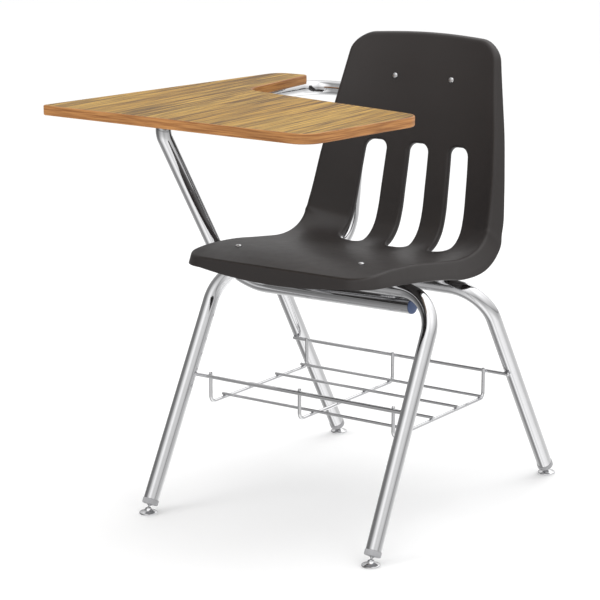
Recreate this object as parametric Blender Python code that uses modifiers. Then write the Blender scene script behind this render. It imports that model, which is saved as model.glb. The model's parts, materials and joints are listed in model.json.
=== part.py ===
"""Student combo chair: plastic shell seat, tubular legs, tablet arm and wire book rack.

Units are metres, +Z is up and the sitter faces -Y, so +X is the sitter's left hand.
All sizes below are in the chair's own frame: x = 0 is the seat's centre line, y = 0 is midway
between the front and rear feet and z = 0 is the floor. The last step moves the whole assembly
so that the origin is the centre of the base of its bounding box.
"""
import math

import bmesh
import bpy
from mathutils import Matrix, Vector

# ---------------------------------------------------------------- driving dimensions
GAP = 0.0003                     # clearance between pieces that touch

TUBE_R = 0.0127                  # 1 inch leg and tablet support tube
HOOP_R = 0.0111                  # 7/8 inch seat and back hoop tube
TUBE_WALL = 0.0016
TUBE_SIDES = 16
PLUG_CLEARANCE = 0.0006          # between a plug's stub and the flats inside its tube

FRONT_FOOT = Vector((0.2184, -0.2826, 0.0))
FRONT_TOP = Vector((0.2120, -0.0830, 0.3885))
FRONT_BEND_R = 0.067
REAR_FOOT = Vector((0.2180, 0.2826, 0.0))
REAR_TOP = Vector((0.2130, 0.0590, 0.3681))
REAR_BEND_R = 0.063

HOOP_FRONT_X = 0.118             # rails under the front of the seat
HOOP_REAR_X = 0.132              # uprights behind the back
HOOP_FRONT_Y = -0.182
HOOP_KNEE_Y = -0.097             # the rails flatten out in front of this
HOOP_FRONT_SLOPE = 0.090         # drop of the rails towards the back, before the knee
HOOP_RAIL_SLOPE = 0.142          # and behind it
HOOP_CORNER_Y = 0.188
HOOP_TOP = Vector((0.0, 0.2285, 0.682))
HOOP_LEAN = 0.14                 # uprights lean back by this much per unit of height
HOOP_KNEE_BEND_R = 0.150
HOOP_FLOOR_BEND_R = 0.068
HOOP_TOP_BEND_R = 0.050

TABLET_TOP = 0.678
TABLET_THICKNESS = 0.0159        # 5/8 inch board
LAMINATE = 0.0010
BACKING = 0.0008
EDGE_BAND = 0.0025
PLATE_THICKNESS = 0.0025

SUPPORT_END = Vector((0.160, -0.0765, 0.3622))
SUPPORT_LOW = Vector((-0.2265, -0.0397, 0.3485))
SUPPORT_ARM_X = -0.2560
SUPPORT_ARM_FRONT_Y = -0.2020
SUPPORT_REAR_Y = 0.2480
SUPPORT_REAR_END_X = 0.1250
SUPPORT_LOW_BEND_R = 0.084
SUPPORT_FRONT_BEND_R = 0.027
SUPPORT_REAR_BEND_R = 0.050

SHELL_WALL = 0.0045
SHELL_ROLL_R = 0.0060            # rolled edge between the shell's face and its flange
SHELL_FLARE = math.radians(20)   # the flange leans outward by this
SHELL_BOWL = 3.0                 # exponent of the dish across the shell
FRONT_CORNER_R = 0.031
FRONT_FLANGE_DROP = 0.0095       # the front flange is this much deeper in its middle
TOP_CORNER_R = 0.036
TOP_CROWN = 0.0080               # the top edge is this much higher in its middle
TOP_CROWN_REACH = 0.120

SLOT_PITCH_U = 0.5               # slot spacing as a share of the shell's half width
SLOT_HALF_WIDTH = 0.0261
SLOT_CORNER_R = 0.0200
SLOT_LIP_ROLL_R = 0.0050
SLOT_LIP_DEPTH = 0.0085
SLOT_LIP_FLARE = math.radians(3)
SLOT_LOW_Y = 0.1130              # where the slots start, on the seat side of the bend
SIDE_SLOT_EXTRA = 0.0070         # the outer slots start this much nearer the front
SLOT_HIGH_Z = 0.5780             # where the slots end, on the back

RACK_Z = 0.2110
RACK_FLOOR_Z = 0.1650
RACK_CENTRE_X = -0.006
RACK_PITCH_X = 0.180
RACK_FLOOR_CENTRE_Y = 0.0030
RACK_FLOOR_PITCH_Y = 0.0773
RAIL_WIRE_R = 0.0030
FLOOR_WIRE_R = 0.0025

BALL_Z = 0.0080                  # centre of each glide's ball above the floor
BALL_R = 0.0036
SOCKET_R = 0.00385
COLLAR_LOW = 0.0075              # heights along the leg's axis, from the ball's centre
COLLAR_HIGH = 0.0165
GLIDE_TURN_STEPS = 16

# The shell's centre line from the front of the seat to the top of the back. Each row holds
# y, z, half width, lift of the rim above the centre line, and depth of the flange.
SHELL_STATIONS = (
    (-0.2340, 0.4345, 0.1690, 0.0010, 0.0155),
    (-0.1950, 0.4400, 0.1715, -0.0005, 0.0222),
    (-0.1500, 0.4420, 0.1730, -0.0020, 0.0255),
    (-0.0910, 0.4368, 0.1745, -0.0005, 0.0277),
    (-0.0200, 0.4258, 0.1755, 0.0015, 0.0280),
    (0.0450, 0.4140, 0.1762, 0.0070, 0.0320),
    (0.0950, 0.4072, 0.1768, 0.0215, 0.0350),
    (0.1350, 0.4112, 0.1765, 0.0400, 0.0360),
    (0.1600, 0.4300, 0.1755, 0.0430, 0.0275),
    (0.1735, 0.4600, 0.1740, 0.0430, 0.0262),
    (0.1820, 0.5005, 0.1710, 0.0385, 0.0225),
    (0.1910, 0.5460, 0.1665, 0.0350, 0.0195),
    (0.2002, 0.6006, 0.1590, 0.0290, 0.0172),
    (0.2068, 0.6550, 0.1500, 0.0220, 0.0148),
    (0.2136, 0.7040, 0.1425, 0.0160, 0.0120),
    (0.2240, 0.7540, 0.1350, 0.0130, 0.0100),
)

# The tablet's outline seen from above, anticlockwise: x, y and the radius of each corner.
TABLET_CORNERS = (
    (-0.3475, -0.3745, 0.008),
    (0.1712, -0.3870, 0.034),
    (0.2065, -0.1255, 0.036),
    (-0.1900, -0.0410, 0.042),
    (-0.2110, 0.1720, 0.010),
    (-0.2760, 0.1690, 0.030),
)

PLATES = {
    "front": {"centre": (-0.2470, -0.0750), "size": (0.098, 0.088), "screws": (0.0400, 0.0340)},
    "rear": {"centre": (-0.2460, 0.0750), "size": (0.070, 0.060), "screws": (0.0275, 0.0220)},
}
SCREW_SHANK_R = 0.0020
SCREW_HOLE_R = 0.0024
SCREW_HEAD_R = 0.0045
SCREW_DEPTH = 0.0130

RIVET_HEAD_R = 0.0050
RIVET_SHANK_R = 0.0024
RIVET_HOLE_R = 0.0028
SPACER_R = 0.0065
SPACER_CLEARANCE = 0.0009        # the tube runs at a slight angle below each spacer
RIVET_SET_DROP = 0.0014          # the set end sits this far inside the tube's wall
SEAT_RIVET_Y = -0.162
BACK_RIVET_X = 0.056

SIDES = {"left": 1, "right": -1}

# ---------------------------------------------------------------- derived places
TABLET_UNDERSIDE = TABLET_TOP - TABLET_THICKNESS
PLATE_Z = TABLET_UNDERSIDE - GAP - PLATE_THICKNESS / 2
ARM_Z = TABLET_UNDERSIDE - 2 * GAP - PLATE_THICKNESS - TUBE_R
HOOP_RAIL_Z = FRONT_TOP.z + TUBE_R + HOOP_R + 2 * GAP


def clear_scene():
    for obj in list(bpy.data.objects):
        bpy.data.objects.remove(obj, do_unlink=True)


def make_collection(name):
    collection = bpy.data.collections.new(name)
    bpy.context.scene.collection.children.link(collection)
    return collection


def make_material(name, colour, roughness, metallic=0.0):
    material = bpy.data.materials.new(name)
    material.use_nodes = True
    shader = material.node_tree.nodes["Principled BSDF"]
    shader.inputs["Base Color"].default_value = (*colour, 1.0)
    shader.inputs["Roughness"].default_value = roughness
    shader.inputs["Metallic"].default_value = metallic
    return material


clear_scene()
CHAIR = make_collection("student_desk_chair")
CUTTERS = make_collection("cutters")
ROOT = bpy.data.objects.new("chair_frame", None)
CHAIR.objects.link(ROOT)

CHROME = {"colour": (0.78, 0.78, 0.80), "roughness": 0.12, "metallic": 1.0}
STEEL = {"colour": (0.62, 0.62, 0.64), "roughness": 0.30, "metallic": 1.0}
SHELL_PLASTIC = {"colour": (0.045, 0.041, 0.040), "roughness": 0.45}
OAK = {"colour": (0.52, 0.33, 0.14), "roughness": 0.35}
OAK_EDGE = {"colour": (0.58, 0.26, 0.09), "roughness": 0.45}
BOARD = {"colour": (0.45, 0.33, 0.20), "roughness": 0.85}
BACKER = {"colour": (0.20, 0.15, 0.11), "roughness": 0.60}
BLUE_PLUG = {"colour": (0.07, 0.11, 0.25), "roughness": 0.50}
NYLON = {"colour": (0.55, 0.55, 0.55), "roughness": 0.45}


# ---------------------------------------------------------------- modelling helpers
def add_part(name, mesh, finish, smooth_angle=35):
    """Put a mesh into the chair as a named piece with its own material."""
    obj = bpy.data.objects.new(name, mesh)
    CHAIR.objects.link(obj)
    obj.parent = ROOT
    mesh.materials.clear()
    mesh.materials.append(make_material(name + "_finish", **finish))
    mesh.shade_smooth()
    mesh.set_sharp_from_angle(angle=math.radians(smooth_angle))
    return obj


def bent_path(corners, radii, step=math.radians(18)):
    """Points along straight runs joined by arcs; one radius for each inner corner."""
    path = [corners[0].copy()]
    for before, corner, after, radius in zip(corners, corners[1:], corners[2:], radii):
        back = (before - corner).normalized()
        ahead = (after - corner).normalized()
        turn = math.pi - back.angle(ahead)
        reach = radius * math.tan(turn / 2)
        centre = corner + (back + ahead).normalized() * math.hypot(radius, reach)
        start = corner + back * reach - centre
        axis = start.cross(corner + ahead * reach - centre).normalized()
        count = max(2, math.ceil(turn / step))
        for index in range(count + 1):
            path.append(centre + Matrix.Rotation(turn * index / count, 3, axis) @ start)
    path.append(corners[-1].copy())
    return path


def curve_mesh(name, path, radius, sides, caps):
    """A round bar along a path, as a mesh."""
    curve = bpy.data.curves.new(name, "CURVE")
    curve.dimensions = "3D"
    curve.bevel_depth = radius
    curve.bevel_resolution = sides // 2 - 2
    curve.use_fill_caps = caps
    spline = curve.splines.new("POLY")
    spline.points.add(len(path) - 1)
    for point, place in zip(spline.points, path):
        point.co = (*place, 1.0)
    guide = bpy.data.objects.new(name + "_guide", curve)
    CHAIR.objects.link(guide)
    evaluated = guide.evaluated_get(bpy.context.evaluated_depsgraph_get())
    mesh = bpy.data.meshes.new_from_object(evaluated)
    mesh.name = name
    bpy.data.objects.remove(guide, do_unlink=True)
    bpy.data.curves.remove(curve)
    shape = bmesh.new()
    shape.from_mesh(mesh)
    bmesh.ops.remove_doubles(shape, verts=shape.verts, dist=0.00001)
    bmesh.ops.recalc_face_normals(shape, faces=shape.faces)
    shape.to_mesh(mesh)
    shape.free()
    return mesh


def add_tube(name, path, radius, finish, sides=TUBE_SIDES):
    """An open-ended tube with a real wall."""
    obj = add_part(name, curve_mesh(name, path, radius, sides, caps=False), finish)
    wall = obj.modifiers.new("wall", "SOLIDIFY")
    wall.thickness = TUBE_WALL
    wall.offset = -1
    wall.use_even_offset = True
    return obj


def add_wire(name, path, radius, finish, sides=8):
    return add_part(name, curve_mesh(name, path, radius, sides, caps=True), finish)


def place_along(obj, base, direction):
    """Stand a piece turned about Z on a point, with its +Z along a direction."""
    obj.location = base
    obj.rotation_mode = "QUATERNION"
    obj.rotation_quaternion = Vector((0, 0, 1)).rotation_difference(direction)
    return obj


def add_turned(name, profile, finish, steps=GLIDE_TURN_STEPS, ring=False):
    """A turned piece: the profile's x is the radius, and it runs down the outer side.

    A ring's profile is a closed loop away from the axis.
    """
    mesh = bpy.data.meshes.new(name)
    edges = [(index, index + 1) for index in range(len(profile) - 1)]
    if ring:
        edges.append((len(profile) - 1, 0))
    mesh.from_pydata([(radius, 0.0, height) for radius, height in profile], edges, [])
    obj = add_part(name, mesh, finish)
    turn = obj.modifiers.new("turn", "SCREW")
    turn.steps = steps
    turn.render_steps = steps
    turn.use_merge_vertices = True
    turn.merge_threshold = 0.00001
    turn.use_smooth_shade = not ring
    return obj


def arc(centre, radius, start, end, count):
    """Points (x, z) on an arc; angles in degrees from the +Z axis towards +X."""
    points = []
    for index in range(count + 1):
        angle = math.radians(start + (end - start) * index / count)
        points.append((centre[0] + radius * math.sin(angle), centre[1] + radius * math.cos(angle)))
    return points


def drill(obj, place, direction, radius, length, name):
    """Cut a round hole through a piece, centred on a point."""
    mesh = bpy.data.meshes.new(name)
    shape = bmesh.new()
    bmesh.ops.create_cone(
        shape, cap_ends=True, segments=8, radius1=radius, radius2=radius, depth=length)
    shape.to_mesh(mesh)
    shape.free()
    cutter = bpy.data.objects.new(name, mesh)
    CUTTERS.objects.link(cutter)
    cutter.parent = ROOT
    cutter.hide_render = True
    cutter.display_type = "WIRE"
    place_along(cutter, place, direction)
    cut = obj.modifiers.new(name, "BOOLEAN")
    cut.operation = "DIFFERENCE"
    cut.object = cutter


# ---------------------------------------------------------------- seat and back shell
def spline_row(rows, place):
    """Values on a Catmull-Rom curve through the rows; place counts rows from 0."""
    last = len(rows) - 1
    index = min(int(place), last - 1)
    part = place - index
    a, b = rows[max(index - 1, 0)], rows[index]
    c, d = rows[index + 1], rows[min(index + 2, last)]
    return [
        q + 0.5 * part * (r - p + part * (2 * p - 5 * q + 4 * r - s + part * (3 * (q - r) + s - p)))
        for p, q, r, s in zip(a, b, c, d)
    ]


class ShellSurface:
    """The shell's sitting face, by arc length along it and share of its half width."""

    SAMPLES = 20

    def __init__(self):
        count = (len(SHELL_STATIONS) - 1) * self.SAMPLES
        self.places = [index / self.SAMPLES for index in range(count + 1)]
        self.lengths = [0.0]
        previous = spline_row(SHELL_STATIONS, 0.0)
        for place in self.places[1:]:
            row = spline_row(SHELL_STATIONS, place)
            step = math.hypot(row[0] - previous[0], row[1] - previous[1])
            self.lengths.append(self.lengths[-1] + step)
            previous = row
        self.total = self.lengths[-1]

    def row(self, length):
        length = min(max(length, 0.0), self.total)
        index = 1
        while self.lengths[index] < length and index < len(self.lengths) - 1:
            index += 1
        low, high = self.lengths[index - 1], self.lengths[index]
        share = (length - low) / (high - low)
        place = self.places[index - 1] + share * (self.places[index] - self.places[index - 1])
        return spline_row(SHELL_STATIONS, place)

    def half_width(self, length):
        """Half width with the rounded corners at the seat's front and the back's top."""
        width = self.row(length)[2]
        for distance, radius in ((length, FRONT_CORNER_R), (self.total - length, TOP_CORNER_R)):
            if distance < radius:
                inside = max(radius ** 2 - (radius - max(distance, 0.0)) ** 2, 0.0)
                width -= radius - math.sqrt(inside)
        return width

    def centre_normal(self, length):
        step = 0.002
        low = self.row(length - step)
        high = self.row(length + step)
        along = Vector((0.0, high[0] - low[0], high[1] - low[1])).normalized()
        return Vector((0.0, -along.z, along.y))

    def crowned(self, share, length):
        """Arc length on the centre line for a point; the top edge falls towards its corners."""
        nearness = max(0.0, 1.0 - (self.total - length) / TOP_CROWN_REACH)
        return length - TOP_CROWN * share ** 2 * nearness ** 2

    def point(self, share, length):
        on_centre = self.crowned(share, length)
        y, z, _, lift, _ = self.row(on_centre)
        offset = self.centre_normal(on_centre) * (lift * abs(share) ** SHELL_BOWL)
        return Vector((share * self.half_width(length), y, z)) + offset

    def flange_depth(self, share, length):
        towards_front = 1.0 - length / self.total
        return self.row(length)[4] + FRONT_FLANGE_DROP * towards_front * (1.0 - share ** 2)

    def normal(self, share, length):
        step = 0.004
        low = min(max(length, step), self.total - step)
        across = self.point(share + step, low) - self.point(share - step, low)
        along = self.point(share, low + step) - self.point(share, low - step)
        return across.cross(along).normalized()

    def length_where(self, test):
        """The first arc length at which the centre line passes a test."""
        step = 0.001
        length = 0.0
        while length < self.total and not test(self.row(length)):
            length += step
        return length

    def nearest(self, target):
        """The surface point nearest to a target beneath it, at the target's x."""
        best = None
        for index in range(int(self.total / 0.001)):
            length = index * 0.001
            share = target.x / self.half_width(length)
            if abs(share) > 0.95:
                continue
            place = self.point(share, length)
            distance = (place - target).length
            if best is None or distance < best[0]:
                best = (distance, place)
        return best[1]


SURFACE = ShellSurface()
SLOT_LOW = SURFACE.length_where(lambda row: row[0] > SLOT_LOW_Y)
SLOT_HIGH = SURFACE.length_where(lambda row: row[1] > SLOT_HIGH_Z)


def spread(low, high, count):
    return [low + (high - low) * index / count for index in range(count + 1)]


def corner_spread(radius, count):
    """Distances from an end that follow a rounded corner evenly."""
    return [radius * (1 - math.cos(math.pi / 2 * index / count)) for index in range(count)]


class ShellSheet:
    """Open sheet with three slots, built as a grid with a ring of faces around each slot."""

    BLOCK_COLUMNS = 4
    MARGIN_COLUMNS = 2
    BLOCK_ROWS = 9
    RING_LAYERS = 2
    SLOT_MARGIN = 0.022

    def __init__(self):
        self.shape = bmesh.new()
        self.made = {}
        self.shares = self.columns()
        self.low = SLOT_LOW - self.SLOT_MARGIN
        self.high = SLOT_HIGH + self.SLOT_MARGIN
        self.lengths, self.first_row = self.rows()
        self.last_row = self.first_row + self.BLOCK_ROWS

    def columns(self):
        half = SLOT_PITCH_U / 2
        margin = spread(-1.0, -3 * half, self.MARGIN_COLUMNS)[:-1]
        blocks = spread(-3 * half, 3 * half, 3 * self.BLOCK_COLUMNS)
        return margin + blocks + [-share for share in reversed(margin)]

    def rows(self):
        total = SURFACE.total
        front = corner_spread(FRONT_CORNER_R, 4)
        seat = spread(FRONT_CORNER_R, self.low, 6)
        block = spread(self.low, self.high, self.BLOCK_ROWS)
        top_start = total - TOP_CORNER_R
        upper = spread(self.high, top_start, 3)
        top = [total - length for length in reversed(corner_spread(TOP_CORNER_R, 4))]
        first_row = len(front) + len(seat) - 1
        return front + seat + block[1:] + upper[1:] + top, first_row

    def vertex(self, share, length):
        key = (round(share, 6), round(length, 6))
        if key not in self.made:
            self.made[key] = self.shape.verts.new(SURFACE.point(share, length))
        return self.made[key]

    def face(self, corners):
        self.shape.faces.new([self.vertex(*corner) for corner in corners])

    def block_of(self, column):
        """The slot block (0, 1 or 2) that a column belongs to, or None in the margins."""
        block = (column - self.MARGIN_COLUMNS) // self.BLOCK_COLUMNS
        return block if 0 <= block <= 2 else None

    def add_grid(self):
        for row in range(len(self.lengths) - 1):
            for column in range(len(self.shares) - 1):
                beside_slot = self.first_row <= row < self.last_row
                if beside_slot and self.block_of(column) is not None:
                    continue
                s0, s1 = self.shares[column], self.shares[column + 1]
                l0, l1 = self.lengths[row], self.lengths[row + 1]
                self.face(((s0, l0), (s1, l0), (s1, l1), (s0, l1)))

    def slot_edge(self, across, along, low):
        """Slot outline for a place on the block's outline, both from -1 to 1."""
        flat = SLOT_HALF_WIDTH - SLOT_CORNER_R
        diagonal = SLOT_CORNER_R * math.sqrt(0.5)
        middle = (low + SLOT_HIGH) / 2
        reach = (SLOT_HIGH - low) / 2
        if abs(along) > 1 - 1e-6:
            x = across * (flat + diagonal)
            over = max(abs(x) - flat, 0.0)
            rise = reach - SLOT_CORNER_R + math.sqrt(SLOT_CORNER_R ** 2 - over ** 2)
            return x, middle + math.copysign(rise, along)
        rise = along * (reach - SLOT_CORNER_R + diagonal)
        over = max(abs(rise) - (reach - SLOT_CORNER_R), 0.0)
        x = flat + math.sqrt(SLOT_CORNER_R ** 2 - over ** 2)
        return math.copysign(x, across), middle + rise

    def block_outline(self):
        """Places around a block, anticlockwise, as (across, along) from -1 to 1."""
        columns = spread(-1.0, 1.0, self.BLOCK_COLUMNS)
        rows = spread(-1.0, 1.0, self.BLOCK_ROWS)
        outline = [(column, -1.0) for column in columns[:-1]]
        outline += [(1.0, row) for row in rows[:-1]]
        outline += [(column, 1.0) for column in reversed(columns[1:])]
        outline += [(-1.0, row) for row in reversed(rows[1:])]
        return outline

    def add_slot(self, centre):
        half_share = SLOT_PITCH_U / 2
        middle = (self.low + self.high) / 2
        reach = (self.high - self.low) / 2
        width = SURFACE.row(SLOT_LOW)[2]
        slot_low = SLOT_LOW - (SIDE_SLOT_EXTRA if centre else 0.0)
        loops = []
        for layer in range(self.RING_LAYERS + 1):
            inward = layer / self.RING_LAYERS
            loop = []
            for across, along in self.block_outline():
                x, length = self.slot_edge(across, along, slot_low)
                outer = (centre + across * half_share, middle + along * reach)
                inner = (centre + x / width, length)
                share = outer[0] + (inner[0] - outer[0]) * inward
                loop.append((share, outer[1] + (inner[1] - outer[1]) * inward))
            loops.append(loop)
        count = len(loops[0])
        for outer, inner in zip(loops, loops[1:]):
            for index in range(count):
                ahead = (index + 1) % count
                self.face((outer[index], outer[ahead], inner[ahead], inner[index]))
        depths = [SLOT_LIP_DEPTH] * count
        self.add_skirt(loops[-1], SLOT_LIP_ROLL_R, depths, SLOT_LIP_FLARE, inward=True)

    def add_skirt(self, loop, roll, depths, flare, inward):
        """Roll the sheet's edge away from the sitter and carry it on as a straight wall.

        The wall runs back along the centre line's normal and leans outward by the flare.
        """
        previous = [self.vertex(*place) for place in loop]
        frames = []
        for index, (share, length) in enumerate(loop):
            before = SURFACE.point(*loop[index - 1])
            after = SURFACE.point(*loop[(index + 1) % len(loop)])
            along = (before - after) if inward else (after - before)
            normal = SURFACE.centre_normal(length)
            level = along.cross(normal).normalized()
            outward = along.cross(SURFACE.normal(share, length)).normalized()
            wall = level * math.sin(flare) - normal * math.cos(flare)
            inside = (wall - outward * outward.dot(wall)).normalized()
            frames.append((previous[index].co, outward, inside, outward.angle(wall), wall, normal))
        for turned in (1 / 3, 2 / 3, 1):
            ring = []
            for start, outward, inside, turn, _, _ in frames:
                angle = turn * turned
                bend = outward * math.sin(angle) + inside * (1 - math.cos(angle))
                ring.append(self.shape.verts.new(start + bend * roll))
            self.join(previous, ring, inward)
            previous = ring
        ring = []
        for vert, depth, (start, _, _, _, wall, normal) in zip(previous, depths, frames):
            rolled = (start - vert.co).dot(normal)
            reach = (depth - rolled) / math.cos(flare)
            ring.append(self.shape.verts.new(vert.co + wall * reach))
        self.join(previous, ring, inward)

    def join(self, first, second, inward):
        count = len(first)
        for index in range(count):
            ahead = (index + 1) % count
            corners = [first[index], first[ahead], second[ahead], second[index]]
            self.shape.faces.new(corners if inward else corners[::-1])

    def rim_loop(self):
        """The sheet's outer edge, anticlockwise seen from the sitter's side."""
        shares, lengths = self.shares, self.lengths
        loop = [(share, lengths[0]) for share in shares[:-1]]
        loop += [(shares[-1], length) for length in lengths[:-1]]
        loop += [(share, lengths[-1]) for share in reversed(shares[1:])]
        loop += [(shares[0], length) for length in reversed(lengths[1:])]
        return loop

    def build(self):
        self.add_grid()
        for centre in (-SLOT_PITCH_U, 0.0, SLOT_PITCH_U):
            self.add_slot(centre)
        rim = self.rim_loop()
        depths = [SURFACE.flange_depth(*place) for place in rim]
        self.add_skirt(rim, SHELL_ROLL_R, depths, SHELL_FLARE, inward=False)
        mesh = bpy.data.meshes.new("seat_shell")
        self.shape.to_mesh(mesh)
        self.shape.free()
        return mesh


def build_shell():
    obj = add_part("seat_shell", ShellSheet().build(), SHELL_PLASTIC, smooth_angle=60)
    wall = obj.modifiers.new("wall", "SOLIDIFY")
    wall.thickness = SHELL_WALL
    wall.offset = -1
    wall.use_even_offset = True
    wall.use_quality_normals = True
    return obj


# ---------------------------------------------------------------- tubular frame
def mirrored(point):
    return Vector((-point.x, point.y, point.z))


def leg_direction(foot, top):
    """Unit vector up a leg's axis, which passes through the centre of its glide's ball."""
    return (top - ball_centre(foot)).normalized()


def ball_centre(foot):
    return foot + Vector((0.0, 0.0, BALL_Z))


def leg_bottom(foot, top):
    return ball_centre(foot) + leg_direction(foot, top) * (COLLAR_HIGH + GAP)


def build_leg_frame(name, foot, top, radius):
    """One tube bent to an upside-down U: two legs and the crossbar under the seat."""
    end = leg_bottom(foot, top)
    corners = [end, top, mirrored(top), mirrored(end)]
    return add_tube(name, bent_path(corners, [radius, radius]), TUBE_R, CHROME)


def hoop_rail(y):
    """Point on the hoop's left rail at a given y."""
    share = (y - HOOP_FRONT_Y) / (HOOP_CORNER_Y - HOOP_FRONT_Y)
    x = HOOP_FRONT_X + (HOOP_REAR_X - HOOP_FRONT_X) * share
    z = HOOP_RAIL_Z - (max(y, HOOP_KNEE_Y) - FRONT_TOP.y) * HOOP_RAIL_SLOPE
    return Vector((x, y, z - min(y - HOOP_KNEE_Y, 0.0) * HOOP_FRONT_SLOPE))


def hoop_corners():
    """Left half of the hoop from its front end up to its top corner, then the right half."""
    top = Vector((HOOP_REAR_X, HOOP_TOP.y, HOOP_TOP.z))
    corner = hoop_rail(HOOP_CORNER_Y)
    corner.y = HOOP_TOP.y - (HOOP_TOP.z - corner.z) * HOOP_LEAN
    half = [hoop_rail(HOOP_FRONT_Y), hoop_rail(HOOP_KNEE_Y), corner, top]
    return half + [mirrored(point) for point in reversed(half)]


def build_hoop():
    half = [HOOP_KNEE_BEND_R, HOOP_FLOOR_BEND_R, HOOP_TOP_BEND_R]
    path = bent_path(hoop_corners(), half + half[::-1])
    return add_tube("seat_back_hoop", path, HOOP_R, CHROME, sides=12)


def support_corners():
    """Centre line of the tablet support, from under the seat to behind the back."""
    arm_front = Vector((SUPPORT_ARM_X, SUPPORT_ARM_FRONT_Y, ARM_Z))
    arm_rear = Vector((SUPPORT_ARM_X, SUPPORT_REAR_Y, ARM_Z))
    rear_end = Vector((SUPPORT_REAR_END_X, SUPPORT_REAR_Y, ARM_Z))
    return [SUPPORT_END, SUPPORT_LOW, arm_front, arm_rear, rear_end]


def build_support():
    radii = [SUPPORT_LOW_BEND_R, SUPPORT_FRONT_BEND_R, SUPPORT_REAR_BEND_R]
    return add_tube("tablet_support_tube", bent_path(support_corners(), radii), TUBE_R, CHROME)


def build_end_plug(name, end, direction, tube_r, finish):
    """Push-in plug: a domed head over the tube's end and a stub inside it."""
    head_r = tube_r - 0.0004
    stub_r = tube_r - TUBE_WALL - PLUG_CLEARANCE
    profile = [(0.0, 0.0034), (head_r * 0.55, 0.0030), (head_r * 0.90, 0.0020), (head_r, 0.0010)]
    profile += [(head_r, GAP), (stub_r, GAP), (stub_r, -0.0110), (0.0, -0.0110)]
    plug = add_turned(name, profile, finish, steps=16)
    return place_along(plug, end, direction)


def build_end_plugs():
    support = support_corners()
    start = (support[0] - support[1]).normalized()
    build_end_plug("support_plug_front", support[0], start, TUBE_R, BLUE_PLUG)
    rear = (support[-1] - support[-2]).normalized()
    build_end_plug("support_plug_rear", support[-1], rear, TUBE_R, BLUE_PLUG)
    for side, sign in SIDES.items():
        corners = hoop_corners()[:2] if sign > 0 else hoop_corners()[:-3:-1]
        direction = (corners[0] - corners[1]).normalized()
        build_end_plug("hoop_plug_" + side, corners[0], direction, HOOP_R, BLUE_PLUG)


# ---------------------------------------------------------------- glides
def glide_base_profile():
    """Swivel foot: bell-shaped steel base with a ball socket that opens upward."""
    lip_angle = 65
    socket = arc((0.0, BALL_Z), SOCKET_R, 180, lip_angle, 5)
    socket[0] = (0.0, BALL_Z - SOCKET_R)
    bell = [(0.0046, 0.0096), (0.0055, 0.0080), (0.0074, 0.0059), (0.0104, 0.0043)]
    rim = [(0.0140, 0.0033), (0.0150, 0.0023), (0.0148, 0.0010), (0.0128, 0.0), (0.0, 0.0)]
    return socket + bell + rim


def glide_stem_profile():
    """Ball stud: shank in the leg insert, a shoulder, a neck and the ball."""
    shoulder = COLLAR_LOW - GAP
    neck_r = 0.0016
    neck_angle = math.degrees(math.asin(neck_r / BALL_R))
    ball = arc((0.0, 0.0), BALL_R, neck_angle, 180, 5)
    ball[-1] = (0.0, -BALL_R)
    shank = [(0.0, 0.0300), (0.0030, 0.0300), (0.0030, shoulder)]
    return shank + [(0.0042, shoulder), (0.0040, shoulder - 0.0008), (0.0019, 0.0048)] + ball


def glide_insert_profile():
    """Sleeve in the leg's end: a collar that shows below the tube and a stub inside it."""
    collar_r = 0.0135
    stub_r = TUBE_R - TUBE_WALL - PLUG_CLEARANCE
    bore_r = 0.0030 + GAP
    outer = [(stub_r, 0.0360), (stub_r, COLLAR_HIGH), (collar_r, COLLAR_HIGH)]
    outer += [(collar_r, COLLAR_LOW + 0.0014), (collar_r - 0.0014, COLLAR_LOW)]
    return [(bore_r, 0.0360)] + outer + [(bore_r, COLLAR_LOW)]


def build_glide(corner, foot, top):
    centre = ball_centre(foot)
    up_leg = leg_direction(foot, top)
    insert = add_turned("glide_insert_" + corner, glide_insert_profile(), NYLON, ring=True)
    place_along(insert, centre, up_leg)
    stem = add_turned("glide_stem_" + corner, glide_stem_profile(), STEEL)
    place_along(stem, centre, up_leg)
    pivot = bpy.data.objects.new("glide_pivot_" + corner, None)
    CHAIR.objects.link(pivot)
    pivot.parent = ROOT
    pivot.location = centre
    base = add_turned("glide_base_" + corner, glide_base_profile(), STEEL)
    base.parent = pivot
    base.location = (0.0, 0.0, -BALL_Z)


def build_glides():
    for side, sign in SIDES.items():
        for end, foot, top in (("front", FRONT_FOOT, FRONT_TOP), ("rear", REAR_FOOT, REAR_TOP)):
            pair = (foot, top) if sign > 0 else (mirrored(foot), mirrored(top))
            build_glide(end + "_" + side, *pair)


# ---------------------------------------------------------------- book rack
def beside_leg(foot, top, inward):
    """Place of a rack rail: on the inner face of a pair of legs, at the rack's height."""
    up_leg = leg_direction(foot, top)
    axis = ball_centre(foot) + up_leg * ((RACK_Z - BALL_Z) / up_leg.z)
    reach = (TUBE_R + RAIL_WIRE_R + 2 * GAP) * math.hypot(1.0, up_leg.y / up_leg.z)
    return axis.x, axis.y + inward * reach


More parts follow.
